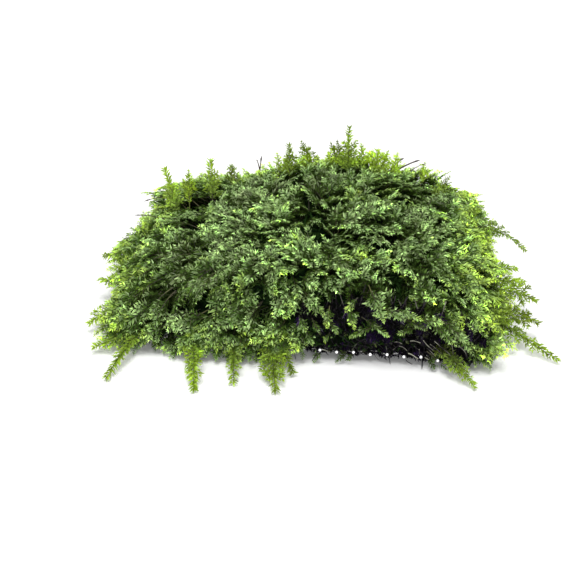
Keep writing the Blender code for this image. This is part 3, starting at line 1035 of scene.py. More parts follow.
def fringe_frond(growth, edge, out):
    """A frond at the foot of the cushion that reaches out over the wire's edge and down."""
    rng = growth.random
    behind = max(out[1], 0)
    edge = edge + out * spots_sum(BULGES, edge) * MM
    tip = edge + out * rng.uniform(-0.5, 2.2) * MM
    tip[2] = max(edge[2] - rng.uniform(0.5, 2.6) * MM, rng.uniform(0.7, 1.4) * MM)
    middle = edge - out * rng.uniform(1.5, 3.0) * MM + mm(0, 0, rng.uniform(1.5, 2.8))
    root = edge - out * 8 * MM
    root[2] += 2.2 * MM
    # Fresher at the sides and at the back: partly younger growth, partly painted light where the back light shines
    # through the leaves.
    fresh = 0.44 + 0.25 * abs(out[0]) + 0.3 * behind + rng.normal(0, 0.08)
    fresh = min(fresh, 0.66) + 0.05 * by_a_shoot(edge)
    # The fringe's fronds take the painted shade of the spots as well.
    tone = math.exp(rng.normal(-0.30, 0.30)) * (1 - 0.45 * min(spots_sum(PAINTED_SHADE_AND_LIGHT_SPOTS, edge), 1))
    # Dark at the base, bright at the tip: partly older leaves, partly painted shade.
    frond(
        growth, root, middle, tip, facing=unit(out + np.array([0, 0, 0.9]) + rng.normal(0, 0.25, 3)),
        leafy_from=0.35, leaf=LEAF_LENGTH * rng.uniform(0.85, 1.1), fresh=(fresh - 0.4, fresh + 0.1),
        tone=(tone * 0.16, tone * 1.1), step=2.1 * MM, spread=rng.uniform(2.0, 3.4) * MM, droop=rng.uniform(0.0, 0.3),
    )


def fringe(growths):
    """Rows of fronds round the foot of the cushion, apart from its bare stretch."""
    bm = merged_copy("moss_cushion")
    surface = BVHTree.FromBMesh(bm)
    bm.free()
    rng = np.random.default_rng(SEEDS["fringe"])
    for height, spacing in FRINGE_ROWS:
        steps = int(FOOT_LENGTH / spacing)
        for step in range(steps):
            turn = 2 * math.pi * (step + rng.uniform(-0.4, 0.4)) / steps
            out = Vector((math.cos(turn), math.sin(turn), 0))
            start = Vector((MIDDLE.x, MIDDLE.y, (height + rng.uniform(-0.8, 0.8)) * MM)) + out * 0.1
            hit, facing, _, _ = surface.ray_cast(start, -out)
            if hit is None or bare(hit) or bare(hit + out * 3 * MM):
                continue
            if rng.random() < 0.8 * hollow_share(np.array(hit)):
                continue
            away = unit(np.array([facing.x, facing.y, 0.0]) + np.array(out) * 0.6)
            fringe_frond(growths[region(hit)], np.array(hit), away)


moss_shapes = shape_set("moss_shape", moss_leaf, moss_stem, moss_leaf_painted_shade)
young_shapes = shape_set("young_shape", young_leaf, moss_stem, young_leaf)
old_shapes = shape_set("old_shape", old_leaf, old_stem, old_leaf)
shaded_shapes = shape_set("shaded_shape", shaded_leaf, moss_stem, shaded_leaf)


def shade_by_depth(growths):
    """Darkens the leaves that lie under others, which are older and get less light. This is painted shade: tone and
    freshness drop with depth, and the darkest take the shaded copy of their leaf.
    """
    halves = np.array([HALF_WIDTH, HALF_DEPTH, PEAK_HEIGHT])
    power, size = ROUNDNESS + 1, 36  # of the rounded box that depths are measured in, in millimetres
    tips = [np.concatenate([part[6] for part in growth.parts]) for growth in growths]
    away = (np.concatenate(tips) - np.array(MIDDLE)) / halves
    height = (np.sum(np.abs(away) ** power, axis=1) ** (1 / power) - 1) * size
    ways = unit(away)
    cells = np.floor(ways[:, :2] / (1 + np.abs(ways[:, 2:])) * DEPTH_CELLS + 1.4 * DEPTH_CELLS).astype(int)
    top = np.full((3 * DEPTH_CELLS, 3 * DEPTH_CELLS), -20.0)
    np.maximum.at(top, (cells[:, 0], cells[:, 1]), height)
    around = np.max([np.roll(top, (a, b), (0, 1)) for a in (-1, 0, 1) for b in (-1, 0, 1)], axis=0)
    outermost = mix(top, around, 0.5)
    depth = outermost[cells[:, 0], cells[:, 1]] - height
    start = 0
    for growth in growths:
        for index, (place, turn, size, fresh, tone, kind, tip) in enumerate(growth.parts):
            under = depth[start : start + len(place)]
            start += len(place)
            # Painted shade by depth under the outermost leaves.
            tone = tone * (0.14 + 1.08 * np.exp(-((under / 2.0) ** 2)))
            fresh = fresh - 0.05 * under
            kind = np.where((kind < JOINT) & (tone < 0.55), kind + DEEP, kind)
            growth.parts[index] = (place, turn, size, fresh, tone, kind, tip)


FRONT_FRONDS = (
    # base, tip, reach of the side branches, how fresh, tone, leaf size
    ((10.9, -35.2, 17.4), (10.7, -37.4, 13.6), 1.5, 0.72, 0.85, 0.85),
    ((16.1, -35.2, 18.1), (17.3, -37.6, 13.9), 1.7, 0.80, 0.90, 0.90),
    ((17.6, -36.6, 21.5), (15.4, -38.2, 19.1), 1.3, 0.80, 0.95, 0.85),
    ((11.4, -35.4, 13.8), (13.1, -36.8, 11.6), 1.1, 0.60, 0.75, 0.80),
    ((21.2, -36.4, 24.2), (24.5, -38.6, 17.2), 2.8, 0.58, 1.15, 1.05),
    ((20.1, -36.0, 15.5), (25.7, -37.2, 12.0), 1.3, 0.62, 0.95, 0.80),
    ((21.9, -35.6, 13.3), (16.3, -36.6, 10.5), 1.2, 0.70, 0.85, 0.80),
    ((24.5, -36.6, 19.7), (29.5, -37.8, 17.4), 1.8, 0.52, 0.95, 0.90),
    ((27.9, -36.4, 19.0), (33.6, -37.6, 17.6), 1.5, 0.72, 1.00, 0.85),
    ((29.4, -35.8, 16.4), (34.4, -36.8, 14.5), 1.5, 0.42, 0.75, 0.85),
    ((32.8, -36.2, 16.6), (38.7, -37.4, 17.0), 1.7, 0.60, 1.00, 0.90),
    ((32.2, -35.4, 13.7), (28.3, -36.2, 12.1), 1.2, 0.62, 0.75, 0.80),
    ((35.8, -35.4, 15.7), (42.2, -36.6, 10.3), 1.8, 0.60, 0.95, 0.90),
    ((39.2, -35.4, 16.0), (45.3, -36.6, 11.1), 2.0, 0.50, 0.90, 0.90),
    ((42.2, -34.8, 13.5), (46.0, -36.0, 8.1), 1.8, 0.50, 0.75, 0.90),
    ((10.9, -34.8, 9.8), (10.0, -35.8, 8.0), 1.1, 0.68, 0.80, 0.80),
    ((5.1, -34.8, 10.5), (6.8, -36.0, 7.3), 1.5, 0.50, 0.70, 0.85),
    ((3.8, -36.0, 14.8), (5.2, -37.2, 11.8), 1.7, 0.52, 0.85, 0.90),
    ((7.0, -36.0, 14.4), (8.4, -36.8, 11.8), 1.2, 0.40, 0.65, 0.80),
    ((4.1, -34.4, 7.2), (3.2, -35.6, 4.3), 1.5, 0.52, 0.75, 0.85),
    ((9.0, -33.0, 3.6), (7.1, -34.2, 0.9), 1.2, 0.48, 0.55, 0.80),
    ((4.5, -34.0, 6.6), (4.3, -34.9, 2.0), 1.1, 0.48, 0.60, 0.80),
    ((15.1, -33.0, 3.5), (12.7, -34.0, 1.0), 1.0, 0.35, 0.35, 0.75),
    ((16.6, -33.2, 3.5), (15.7, -33.8, 1.7), 0.8, 0.35, 0.35, 0.75),
    ((36.1, -33.6, 5.1), (40.3, -35.0, 1.9), 1.5, 0.45, 0.45, 0.80),
    ((40.2, -34.0, 4.5), (44.3, -35.6, 2.0), 1.8, 0.50, 0.50, 0.85),
    ((35.7, -33.4, 3.7), (37.3, -34.4, 1.5), 1.2, 0.42, 0.40, 0.80),
)


def hanging_fronds(growth):
    """Green fronds that hang in front of the bare stretch, each in its own place."""
    rng = growth.random
    for base, tip, spread, fresh, tone, leaf in FRONT_FRONDS:
        base, tip = mm(*base), mm(*tip)
        middle = (base + tip) / 2 + mm(0, -0.6, 0.6)
        base -= (tip - base) * 0.2
        # Dark at the base, bright at the tip: partly older leaves, partly painted shade.
        frond(
            growth, base, middle, tip, facing=unit([rng.normal(0, 0.2), -0.85, 0.5]), leafy_from=0.15,
            leaf=LEAF_LENGTH * 0.9 * leaf, fresh=(fresh - 0.35, fresh + 0.08), tone=(tone * 0.35, tone * 1.15),
            step=1.6 * MM, spread=spread * MM, droop=0.15,
        )


def cushion_pieces():
    """The cushion's fronds, joined region by region."""
    names = ("back", "front_left", "front_right", "left", "right", "top_left", "top_right")
    growths = {name: Growth(SEEDS["cushion"] + number) for number, name in enumerate(names)}
    for place in outer_places(FROND_SPACING, SEEDS["places"]):
        if not bare(place):
            cushion_frond(growths[region(place)], place)
    fringe(growths)
    hanging_fronds(growths["front_right"])
    shade_by_depth(list(growths.values()))
    for name, growth in growths.items():
        finished(grown(f"moss_{name}", growth, moss_shapes), "moss", "moss_cushion")


def inner_mass():
    """The dark old growth a few millimetres inside the cushion, which shows in its hollows. Its near-black colour is
    partly the old growth's own, partly painted shade.
    """
    bm = merged_copy("moss_cushion")
    surface = BVHTree.FromBMesh(bm)
    bm.free()
    bm = bmesh.new()
    bmesh.ops.create_grid(bm, x_segments=80, y_segments=60, size=1)
    for vert in bm.verts:
        u, v = vert.co.x, vert.co.y
        x = (u * math.sqrt(1 - 0.3 * v * v / 2)) * (HALF_WIDTH - INSET)
        y = (v * math.sqrt(1 - 0.3 * u * u / 2)) * (HALF_DEPTH - INSET)
        hit = surface.ray_cast(Vector((x, y, 60 * MM)), Vector((0, 0, -1)))[0]
        height = hit.z if hit else 8 * MM
        depth = INSET * (1 - 0.6 * hollow_share(np.array((x, y, height))))
        height -= depth + 2.2 * MM * float(smoothstep(0.85, 1.0, max(abs(u), abs(v))))
        height = max(height, 6.2 * MM)
        lump = noise.noise(Vector((x, y, height)) / (3.2 * MM)) * 1.1 * MM
        vert.co = (x, y, max(height + lump, 5.4 * MM))
    border = [edge for edge in bm.edges if edge.is_boundary]
    made = bmesh.ops.extrude_edge_only(bm, edges=border)["geom"]
    for vert in {item for item in made if isinstance(item, bmesh.types.BMVert)}:
        vert.co = vert.co.x * 0.985, vert.co.y * 0.985, 4.7 * MM
    bmesh.ops.contextual_create(bm, geom=[edge for edge in bm.edges if edge.is_boundary])
    bmesh.ops.triangulate(bm, faces=bm.faces)
    bmesh.ops.recalc_face_normals(bm, faces=bm.faces)
    growth = Growth(SEEDS["inside"])
    rng = growth.random
    count = INNER_LEAVES
    place, out = surface_places(*surface_faces(bm), count, rng)
    along = unit(out * rng.uniform(0.2, 1.0, (count, 1)) + rng.normal(0, 0.6, (count, 3)))
    faces = unit(out + rng.normal(0, 0.4, (count, 3)))
    # Painted shade: leaves deep in the hollows get a less fresh, darker colour.
    sunk = np.array([min(hollow_share(at + way * INSET) * 2, 1) for at, way in zip(place, out)])
    fresh = rng.uniform(0.3, 0.9, count) * (1 - 0.6 * sunk)
    growth.leaf_row(place, along, faces, np.full(count, LEAF_LENGTH * 1.1), fresh, rng.uniform(0.5, 1.2, count))
    finished(from_bmesh("inner_growth", bm, inner_growth), "moss", "moss_cushion")
    finished(grown("inner_leaves", growth, shaded_shapes), "moss", "moss_cushion")


# Long shoots: reach of the side branches, how far up they grow, leaf size, how fresh, tone

PLAIN_SHOOT = (2.4, 0.6, 1.1, (0.45, 0.85), (0.80, 0.95))
SHOOT_LOOKS = {
    "front_far_left": (1.6, 0.60, 1.15, (0.55, 0.85), (1.00, 0.60)),
    "front_left": (2.6, 0.75, 1.20, (0.60, 0.88), (1.05, 0.75)),
    "front_middle": (2.2, 0.70, 1.15, (0.35, 0.80), (0.70, 0.80)),
    "front": (3.6, 0.75, 1.20, (0.50, 0.80), (0.95, 0.60)),
    "front_short": (1.6, 0.60, 1.10, (0.30, 0.60), (0.70, 0.60)),
    "front_right": (2.6, 0.80, 0.95, (0.10, 0.85), (0.15, 0.85)),
    "left_back": (2.6, 0.60, 1.10, (0.60, 1.00), (0.80, 0.35)),
    "left_low": (3.4, 0.70, 1.10, (0.60, 1.00), (0.80, 0.80)),
    "right_low": (2.3, 0.90, 1.00, (0.45, 1.00), (0.80, 0.60)),
    "right_high": (2.4, 0.40, 0.80, (0.35, 0.75), (0.80, 0.55)),
    "right_middle": (4.2, 0.75, 1.05, (0.50, 0.95), (0.80, 0.40)),
    "right_upper": (4.0, 0.75, 1.05, (0.50, 0.95), (0.80, 0.60)),
    "top_tall": (3.0, 0.60, 0.85, (0.55, 0.90), (0.80, 0.70)),
    "top_right": (3.6, 0.90, 1.00, (0.65, 1.00), (0.80, 1.00)),
    "top_middle": (2.4, 0.70, 1.00, (0.55, 0.80), (0.80, 0.50)),
}


def long_shoot(node_name, seed):
    """A leafy shoot in place of its plain solid, rooted in the cushion."""
    growth = Growth(seed, 0.32)
    spread, twigs_to, leaf, fresh, tone = SHOOT_LOOKS.get(node_name.removeprefix("shoot_"), PLAIN_SHOOT)
    line = middle_line(node_name)
    tip = line[-1]
    root = line[0] + unit(line[0] - tip) * 5 * MM + mm(0, 0, 1.5)
    middle = (root + tip) / 2 + 2 * line[len(line) // 2] - (line[0] + tip)
    upright = unit(tip - line[0])[2] > 0.6
    facing = unit(np.array([0.1, -0.9, 0.45]) if upright else np.array([0.0, -0.35, 1.0]))
    frond(
        growth, root, middle, tip, facing=facing, leafy_from=0.12, leaf=LEAF_LENGTH * leaf, fresh=fresh, tone=tone,
        step=1.5 * MM, spread=spread * MM, droop=0.1, twigs_to=0.12 + 0.88 * twigs_to, fullness=1.1, blunt=1,
    )
    finished(grown(node_name.replace("shoot", "leafy_shoot"), growth, young_shapes), "young_shoot", node_name)


RIM_SHOOTS = (
    # base, tip, how fresh, tone at the tip
    ((-1.0, 26.5, 26.0), (-3.6, 28.0, 30.8), 0.9, 0.25),
    ((-2.0, 24.5, 24.0), (-1.4, 27.0, 28.2), 1.0, 1.0),
    ((9.5, 23.0, 26.0), (9.0, 25.5, 30.6), 1.0, 1.2),
    ((4.6, 23.5, 25.5), (4.8, 25.5, 29.8), 1.0, 1.2),
    ((11.5, 23.5, 26.0), (11.6, 26.0, 30.2), 1.0, 1.2),
    ((7.0, 24.0, 26.0), (4.6, 27.0, 31.4), 0.85, 0.25),
    ((8.5, 24.0, 26.0), (6.4, 27.0, 32.0), 0.85, 0.25),
    ((14.0, 23.0, 26.5), (13.0, 27.0, 31.5), 1.0, 1.0),
    ((19.0, 23.5, 26.0), (20.4, 26.5, 30.0), 1.0, 1.1),
    ((22.0, 22.0, 25.5), (23.0, 26.5, 29.6), 1.0, 1.1),
    ((30.0, 22.5, 24.0), (30.6, 26.0, 27.4), 0.9, 1.0),
    ((-9.5, 24.5, 22.0), (-10.5, 27.5, 27.0), 0.95, 1.1),
    ((-8.0, 24.5, 22.5), (-7.8, 27.0, 26.6), 0.95, 1.0),
    ((-22.5, 23.0, 19.5), (-23.0, 25.5, 23.8), 0.5, 0.7),
    ((-33.5, 16.0, 18.0), (-33.8, 18.0, 25.2), 0.95, 0.8),
    ((34.0, 19.0, 21.0), (37.5, 23.5, 25.0), 0.60, 0.6),
    ((41.0, 14.0, 17.5), (47.0, 17.0, 19.5), 0.60, 0.6),
)


def rim_shoots():
    """Short bright shoots that stand above the cushion's back rim."""
    growth = Growth(SEEDS["rim"], 0.30)
    rng = growth.random
    for base, tip, fresh, end_tone in RIM_SHOOTS:
        base, tip = mm(*base), mm(*tip)
        base -= (tip - base) * 0.5
        middle = (base + tip) / 2 + rng.normal(0, 0.5, 3) * MM
        frond(
            growth, base, middle, tip, facing=unit([rng.normal(0, 0.3), -0.8, 0.5]), leafy_from=0.2,
            leaf=LEAF_LENGTH * 0.95, fresh=(fresh - 0.3, fresh), tone=(0.9, end_tone),
            step=1.8 * MM, spread=2.6 * MM, droop=0.1, twigs_to=0.8, fullness=0.8,
        )
    finished(grown("rim_shoots", growth, young_shapes), "young_shoot", "moss_cushion")


# Old growth


OLD_STEMS = (
    # depth, then start, bend and end as (across, high), thickness, tone
    (-34.6, (20.1, 8.9), (17.9, 8.4), (16.7, 5.2), 0.22, 0.55),
    (-34.4, (21.1, 9.8), (21.2, 8.5), (21.4, 6.1), 0.16, 0.35),
    (-34.2, (22.1, 8.2), (23.4, 7.6), (24.4, 5.9), 0.16, 0.40),
    (-34.8, (27.1, 8.7), (28.1, 9.3), (29.1, 8.2), 0.26, 0.65),
    (-34.6, (28.4, 7.5), (29.4, 7.8), (30.4, 6.1), 0.28, 0.70),
    (-35.0, (31.1, 9.5), (32.1, 10.1), (33.6, 9.0), 0.34, 0.70),
    (-34.8, (34.3, 9.9), (35.1, 8.7), (36.8, 7.0), 0.24, 0.65),
    (-34.4, (26.9, 6.1), (28.1, 7.6), (28.6, 7.9), 0.16, 0.45),
    (-34.2, (25.1, 7.0), (25.4, 6.0), (25.5, 3.9), 0.16, 0.60),
    (-34.2, (33.4, 6.8), (33.4, 5.8), (33.7, 4.2), 0.18, 0.70),
    (-33.9, (30.7, 5.1), (31.7, 5.1), (33.2, 3.4), 0.36, 0.85),
    (-33.8, (29.7, 3.8), (30.3, 2.5), (31.8, 1.7), 0.28, 0.45),
    (-33.8, (34.4, 4.5), (35.7, 3.6), (36.5, 3.3), 0.28, 0.80),
    (-33.8, (26.0, 3.8), (26.0, 3.1), (26.3, 1.2), 0.30, 0.25),
    (-33.8, (34.4, 3.9), (34.3, 2.5), (34.3, 0.5), 0.44, 0.05),
    (-34.4, (36.0, 8.6), (38.1, 7.2), (39.6, 5.2), 0.20, 0.55),
    (-34.4, (37.0, 9.6), (39.0, 7.9), (40.8, 5.9), 0.18, 0.65),
    (-34.2, (35.3, 7.2), (37.4, 5.5), (38.7, 3.2), 0.20, 0.60),
    (-34.6, (38.3, 8.3), (40.3, 7.5), (41.6, 4.9), 0.22, 0.50),
    (-34.8, (41.2, 9.3), (41.7, 8.4), (41.8, 6.2), 0.20, 0.70),
    (-34.2, (37.7, 4.4), (40.0, 3.6), (41.8, 1.0), 0.24, 0.45),
    (-34.4, (39.6, 5.3), (41.7, 3.9), (43.0, 2.1), 0.22, 0.35),
    (-34.2, (32.1, 7.6), (33.4, 6.7), (34.9, 4.3), 0.16, 0.40),
    (-33.9, (8.1, 4.8), (9.9, 4.5), (11.1, 3.7), 0.30, 0.80),
    (-34.0, (8.9, 4.3), (7.1, 2.5), (6.6, 0.6), 0.30, 0.35),
    (-34.4, (12.6, 7.0), (13.7, 5.5), (15.2, 4.4), 0.16, 0.30),
    (-35.2, (42.9, 9.1), (45.0, 8.3), (45.3, 5.6), 0.26, 0.65),
)


def old_stems_front():
    """Old stems over the bare stretch, each in its own place, and thin dark ones between them."""
    growth = Growth(SEEDS["old stems"])
    rng = growth.random
    for depth, *points, thick, tone in OLD_STEMS:
        depths = (depth, round(depth - 0.3, 1), round(depth + 0.2, 1))
        bent = (mm(x, y, z) for (x, z), y in zip(points, depths))
        growth.strand(*bent, 7, (thick / 2 * MM, thick / 3 * MM), 0.0, tone)
    for _ in range(THIN_STEMS):
        start = mm(rng.uniform(1, 44), rng.uniform(-34.0, -29.0), rng.uniform(4.5, 10.5))
        length = rng.uniform(2.0, 5.0) * MM
        slope = math.radians(rng.normal(-50, 30))
        end = start + np.array([math.cos(slope), rng.normal(0, 0.12), math.sin(slope)]) * length
        end[1] = min(end[1], -29 * MM)
        end[2] = max(end[2], rng.uniform(2.2, 3.6) * MM)
        middle = (start + end) / 2 + rng.normal(0, 1, 3) * np.array([0.8, 0.5, 0.9]) * MM
        thick = rng.uniform(0.06, 0.11) * MM
        growth.strand(start, middle, end, 6, (thick, 0.05 * MM), 0.0, rng.uniform(0.02, 0.35))
    finished(grown("old_stems_front", growth, old_shapes), "old_stems")


def old_fronds_front():
    """Dead and dying fronds, violet-black to olive, over the wires' front edge."""
    growth = Growth(SEEDS["old fronds"])
    rng = growth.random
    for number in range(OLD_FRONDS):
        x = rng.uniform(BARE_FROM, BARE_TO)
        low = number % 2
        z = rng.uniform(3.0, 5.4) * MM if low else rng.uniform(4.5 * MM, bare_top(x))
        front = mix(-32.4, -34.2, float(smoothstep(4 * MM, 12 * MM, z))) * MM
        tip = np.array([x, front + rng.uniform(-0.25, 0.9) * MM, z])
        towards = unit([rng.normal(0, 0.7), -0.25, -1.0])
        length = rng.uniform(5.0, 9.0) * MM
        root = tip - towards * length * 0.8 + mm(0, 3, 0)
        middle = tip - towards * length * 0.4
        middle[1] = max(middle[1], tip[1] - 0.4 * MM)
        green = rng.random() < 0.10 and z > 6 * MM
        violet = ((x - 24 * MM) / 4.5) ** 2 + ((z - 8 * MM) / 2.6) ** 2 < MM**2
        if violet:
            fresh = rng.uniform(0.42, 0.5)
        else:
            fresh = rng.choice((rng.uniform(-0.15, 0.0), rng.uniform(0.7, 1.0)), p=(0.8, 0.2))
        frond(
            growth, root, middle, tip, leafy_from=0.25, leaf=LEAF_LENGTH * rng.uniform(0.75, 1.0),
            fresh=(0.1, 1.0) if green else (0.0, fresh),
            tone=(0.6, 1.8) if green else (0.4, math.exp(rng.normal(-0.2, 0.35))),
            step=2.2 * MM, spread=rng.uniform(1.4, 2.6) * MM, droop=0.1,
            facing=unit([rng.normal(0, 0.4), -1.0, 0.35]),  # last, as its draw comes after the others
        )
    finished(grown("old_fronds_front", growth, old_shapes), "old_stems")


def old_leaves_on_wire():
    """Black leaves that cling along the front wire, above the cut ends."""
    growth = Growth(SEEDS["wire"])
    rng = growth.random
    count = WIRE_LEAVES
    x = rng.uniform(BARE_FROM - 1 * MM, BARE_TO - 1 * MM, count)
    front = -WIRE_PITCH * CELLS_DEEP / 2
    crest = np.array([WIRE_HEIGHT - woven_height(at, CELLS_WIDE, 1) - droop(at) for at in x])
    turn = rng.uniform(-0.5, 1.25 * math.pi, count)
    away = np.stack([np.zeros(count), -np.sin(turn), np.cos(turn)], 1)
    off = WIRE_DIAMETER / 2 + rng.uniform(0.02, 0.3, (count, 1)) * MM
    place = np.stack([x, np.full(count, front), crest], 1) + away * off
    along = unit(rng.normal(0, 1, (count, 3)) * np.array([1.0, 0.25, 0.5]))
    fresh, tone = rng.uniform(0, 0.2, count), rng.uniform(0.5, 1.4, count)
    growth.leaf_row(place, along, away, np.full(count, LEAF_LENGTH * 0.8), fresh, tone)
    finished(grown("old_leaves_on_wire", growth, old_shapes), "old_stems")


def rhizoids():
    """The mat under the wire: a slab with a ragged edge, felted with thin brown fibres."""
    bm = merged_copy("rhizoid_mat")
    bmesh.ops.triangulate(bm, faces=bm.faces)
    bmesh.ops.subdivide_edges(bm, edges=bm.edges, cuts=3, use_grid_fill=True)
    bmesh.ops.subdivide_edges(bm, edges=bm.edges, cuts=1, use_grid_fill=True)
    for vert in bm.verts:
        away = Vector((vert.co.x, vert.co.y, 0)).normalized()
        if Vector((vert.co.x / MAT_HALF_WIDTH, vert.co.y / MAT_HALF_DEPTH)).length > 0.85 * MM:
            vert.co += away * noise.noise(Vector(vert.co) / (2.2 * MM)) * 0.9 * MM
        vert.co.z += 0.25 * MM * noise.noise(Vector(vert.co) / (1.1 * MM))
        vert.co.z = min(max(vert.co.z, 0.05 * MM), 2.45 * MM)
    bmesh.ops.recalc_face_normals(bm, faces=bm.faces)
    finished(from_bmesh("old_mat", bm, old_mat), "old_stems", "rhizoid_mat")
    growth = Growth(SEEDS["mat"])
    rng = growth.random
    for _ in range(MAT_FIBRES):
        angle = rng.uniform(0, 2 * math.pi)
        out = math.sqrt(rng.uniform(0, 1.12))
        across, deep = MAT_HALF_WIDTH * out * math.cos(angle), MAT_HALF_DEPTH * out * math.sin(angle)
        start = mm(across, deep, rng.choice((0.2, 2.3)))
        heading = rng.uniform(0, 2 * math.pi)
        end = start + np.array([math.cos(heading), math.sin(heading), 0]) * rng.uniform(4, 11) * MM
        middle = (start + end) / 2 + rng.normal(0, 1.2, 3) * np.array([1, 1, 0.1]) * MM
        line, _ = bend(start, middle, end, np.linspace(0, 1, 5))
        line[:, 2] = np.clip(line[:, 2], 0.15 * MM, 2.5 * MM)
        growth.stem(line, (0.10 * MM, 0.06 * MM), 0.0, rng.uniform(0.2, 0.8))
    finished(grown("old_mat_fibres", growth, old_shapes), "old_stems")


# Wire


def droop(x):
    return EDGE_DROOP * float(smoothstep(DROOP_FROM, WIRE_PITCH * CELLS_WIDE / 2 + WIRE_STUB, abs(x)))


def woven_height(along, cells, order):
    """Height of one wire at a distance along it: a wave that crests at every other crossing."""
    phase = along / WIRE_PITCH + cells / 2 + 1 + order
    return WEAVE_RISE * math.cos(math.pi * phase)


def slant_cuts(mesh):
    """The cutters left each wire's end slanting upwards. Its bright near-white is partly fresh-cut steel, partly a
    painted glint.
    """
    ends = {}
    for vert in mesh.vertices:
        for axis, cells in ((0, CELLS_WIDE), (1, CELLS_DEEP)):
            if abs(vert.co[axis]) > WIRE_PITCH * cells / 2 + WIRE_STUB - 0.2 * MM:
                order = round(vert.co[1 - axis] / WIRE_PITCH * 2)
                ends.setdefault((axis, vert.co[axis] > 0, order), []).append(vert)
    cut = {vert.index for verts in ends.values() for vert in verts}
    for face in mesh.polygons:
        face.material_index = int(cut.issuperset(face.vertices))
    for (axis, positive, _), verts in ends.items():
        middle = sum((vert.co for vert in verts), Vector()) / len(verts)
        for vert in verts:
            vert.co[axis] = middle[axis] + (-1 if positive else 1) * CUT_SLANT * (vert.co.z - middle.z)


def wire_mesh():
    """All the wires, each a round tube that waves over and under the others."""
    curve = bpy.data.curves.new("wire_mesh", "CURVE")
    curve.dimensions = "3D"
    curve.bevel_depth = WIRE_DIAMETER / 2
    curve.bevel_resolution = 2
    curve.use_fill_caps = True
    for cells, others, crosswise in ((CELLS_DEEP, CELLS_WIDE, False), (CELLS_WIDE, CELLS_DEEP, True)):
        half = WIRE_PITCH * cells / 2
        for order in range(others + 1):
            across = WIRE_PITCH * (order - others / 2)
            steps = cells * STEPS_PER_CELL
            stations = [half * (2 * step / steps - 1) for step in range(steps + 1)]
            stations = [-half - WIRE_STUB, *stations, half + WIRE_STUB]
            line = curve.splines.new("POLY")
            line.points.add(len(stations) - 1)
            sign = -1 if crosswise else 1
            for point, along in zip(line.points, stations):
                height = sign * woven_height(min(max(along, -half), half), cells, order + 1)
                if abs(along) > half:
                    height *= STUB_WAVE
                x, y = (along, across) if crosswise else (across, along)
                point.co = (x, y, WIRE_HEIGHT + height - droop(x), 1)
    carrier = bpy.data.objects.new("wire_carrier", curve)
    bpy.context.scene.collection.objects.link(carrier)
    mesh = evaluated_mesh(carrier)
    bpy.data.objects.remove(carrier)
    made = new_piece("wire_mesh", mesh, steel, cut_steel_and_glint)
    mesh.shade_smooth()
    mesh.set_sharp_from_angle(angle=math.radians(50))
    slant_cuts(mesh)
    finished(made, "steel_wire", *nodes_named("mesh_wire"))


# Spore stalks


STALK_STEPS = 8
STALKS = (
    # base, tip, thickness at the base
    ((-15.3, 24.0, 19.0), (-14.8, 27.0, 26.4), 0.22),
    ((-15.2, 25.5, 23.0), (-16.2, 27.0, 25.2), 0.16),
    ((20.5, 24.0, 24.5), (24.8, 27.0, 28.3), 0.22),
    ((21.5, 24.0, 24.5), (29.2, 27.0, 27.9), 0.28),
    ((26.0, 24.0, 25.0), (30.7, 26.0, 27.3), 0.15),
    ((-38.5, 15.5, 18.0), (-46.6, 17.0, 15.4), 0.16),
    ((-38.0, 5.5, 16.5), (-47.2, 7.0, 16.5), 0.15),
    ((46.5, 0.0, 12.0), (50.8, 0.0, 14.7), 0.18),
    ((47.0, 0.0, 11.0), (52.8, 0.0, 11.8), 0.16),
)


def spore_stalks():
    """Thin dark stalks, each with a small capsule at its end."""
    bm = bmesh.new()
    for base, tip, thick in STALKS:
        base, tip = Vector(base) * MM, Vector(tip) * MM
        turn = (tip - base).normalized().to_track_quat("Z", "Y").to_matrix().to_4x4()
        rings = []
        for step in range(STALK_STEPS + 1):
            share = step / STALK_STEPS
            place = base.lerp(tip, share) + Vector((0, 0, 0.5 * MM)) * 4 * share * (1 - share)
            capsule = math.exp(-(((share - 0.93) / 0.09) ** 2))
            radius = (thick * (1 - 0.45 * share) + 0.16 * capsule) * MM * (0.3 if step == STALK_STEPS else 1)
            made = bmesh.ops.create_circle(bm, segments=6, radius=radius, matrix=Matrix.Translation(place) @ turn)
            rings.append(made["verts"])
        for low, high in zip(rings, rings[1:]):
            edges = [e for e in bm.edges if set(e.verts) <= set(low) or set(e.verts) <= set(high)]
            bmesh.ops.bridge_loops(bm, edges=edges)
        for end in (rings[0], rings[-1]):
            bm.faces.new(end)
    bmesh.ops.recalc_face_normals(bm, faces=bm.faces)
    finished(from_bmesh("spore_stalks", bm, stalk), "old_stems")


# Studio


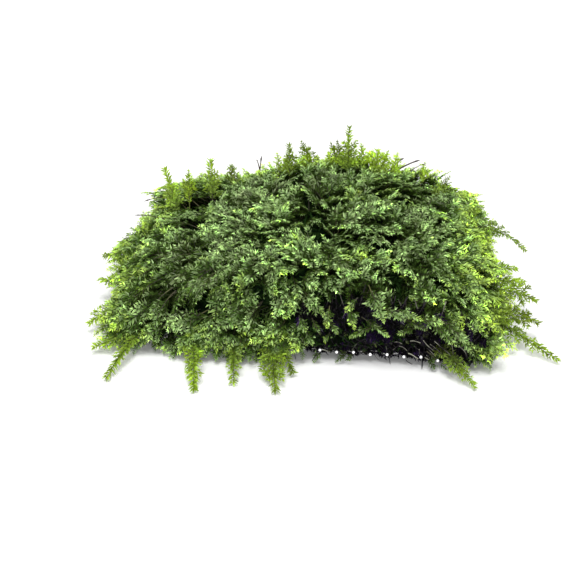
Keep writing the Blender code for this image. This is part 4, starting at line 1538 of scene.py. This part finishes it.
def studio():
    scene = bpy.context.scene
    scene.view_settings.view_transform = "Standard"
    bm = bmesh.new()
    bmesh.ops.create_grid(bm, x_segments=1, y_segments=1, size=3)
    from_bmesh("floor", bm, floor_white)
    world = bpy.data.worlds.new("white_room")
    world.use_nodes = True
    background = world.node_tree.nodes["Background"].inputs
    background["Color"].default_value = (1, 1, 1, 1)
    background["Strength"].default_value = ROOM_LIGHT
    scene.world = world
    for name, place, size, power in (
        ("front_top_light", (0.00, -0.32, 0.75), 0.30, 5.2),
        ("front_low_light", (0.10, -0.80, 0.26), 0.30, 2.6),
        ("back_light", (0.10, 0.62, 0.60), 0.25, 1.8),
    ):
        light = bpy.data.lights.new(name, "AREA")
        light.size = size
        light.energy = power
        made = bpy.data.objects.new(name, light)
        made.location = place
        made.rotation_euler = (-Vector(place)).to_track_quat("-Z", "Y").to_euler()
        scene.collection.objects.link(made)


def camera():
    """The photograph's view: the origin falls on its own pixel."""
    azimuth, elevation = math.radians(CAMERA_AZIMUTH), math.radians(CAMERA_ELEVATION)
    back = Vector(
        (math.sin(azimuth) * math.cos(elevation), -math.cos(azimuth) * math.cos(elevation), math.sin(elevation))
    )
    lens = bpy.data.cameras.new("camera")
    lens.lens = CAMERA_LENS
    lens.sensor_width = SENSOR_WIDTH
    lens.clip_start, lens.clip_end = 0.01, 20
    made = bpy.data.objects.new("camera", lens)
    made.location = back * CAMERA_DISTANCE
    focal = CAMERA_LENS / SENSOR_WIDTH * PHOTO_WIDTH
    right = (ORIGIN_PIXEL[0] - PHOTO_WIDTH / 2) / focal
    down = (ORIGIN_PIXEL[1] - PHOTO_WIDTH / 2) / focal
    aim = (-back).to_track_quat("-Z", "Y").to_matrix()
    turn = Matrix.Rotation(math.atan(right), 3, "Y") @ Matrix.Rotation(math.atan(down), 3, "X")
    made.rotation_euler = (aim @ turn).to_euler()
    bpy.context.scene.collection.objects.link(made)
    bpy.context.scene.camera = made


def clear_shapes(*sets):
    """Removes the small shapes once they have been joined into the pieces."""
    for shapes in sets:
        for shape in list(shapes.objects):
            bpy.data.objects.remove(shape)
        bpy.data.collections.remove(shapes)


camera()
studio()
wire_mesh()
rhizoids()
inner_mass()
cushion_pieces()
for number, shoot_name in enumerate(nodes_named("shoot"), SEEDS["shoots"]):
    long_shoot(shoot_name, number)
rim_shoots()
old_stems_front()
old_fronds_front()
old_leaves_on_wire()
spore_stalks()
clear_shapes(moss_shapes, young_shapes, old_shapes, shaded_shapes)
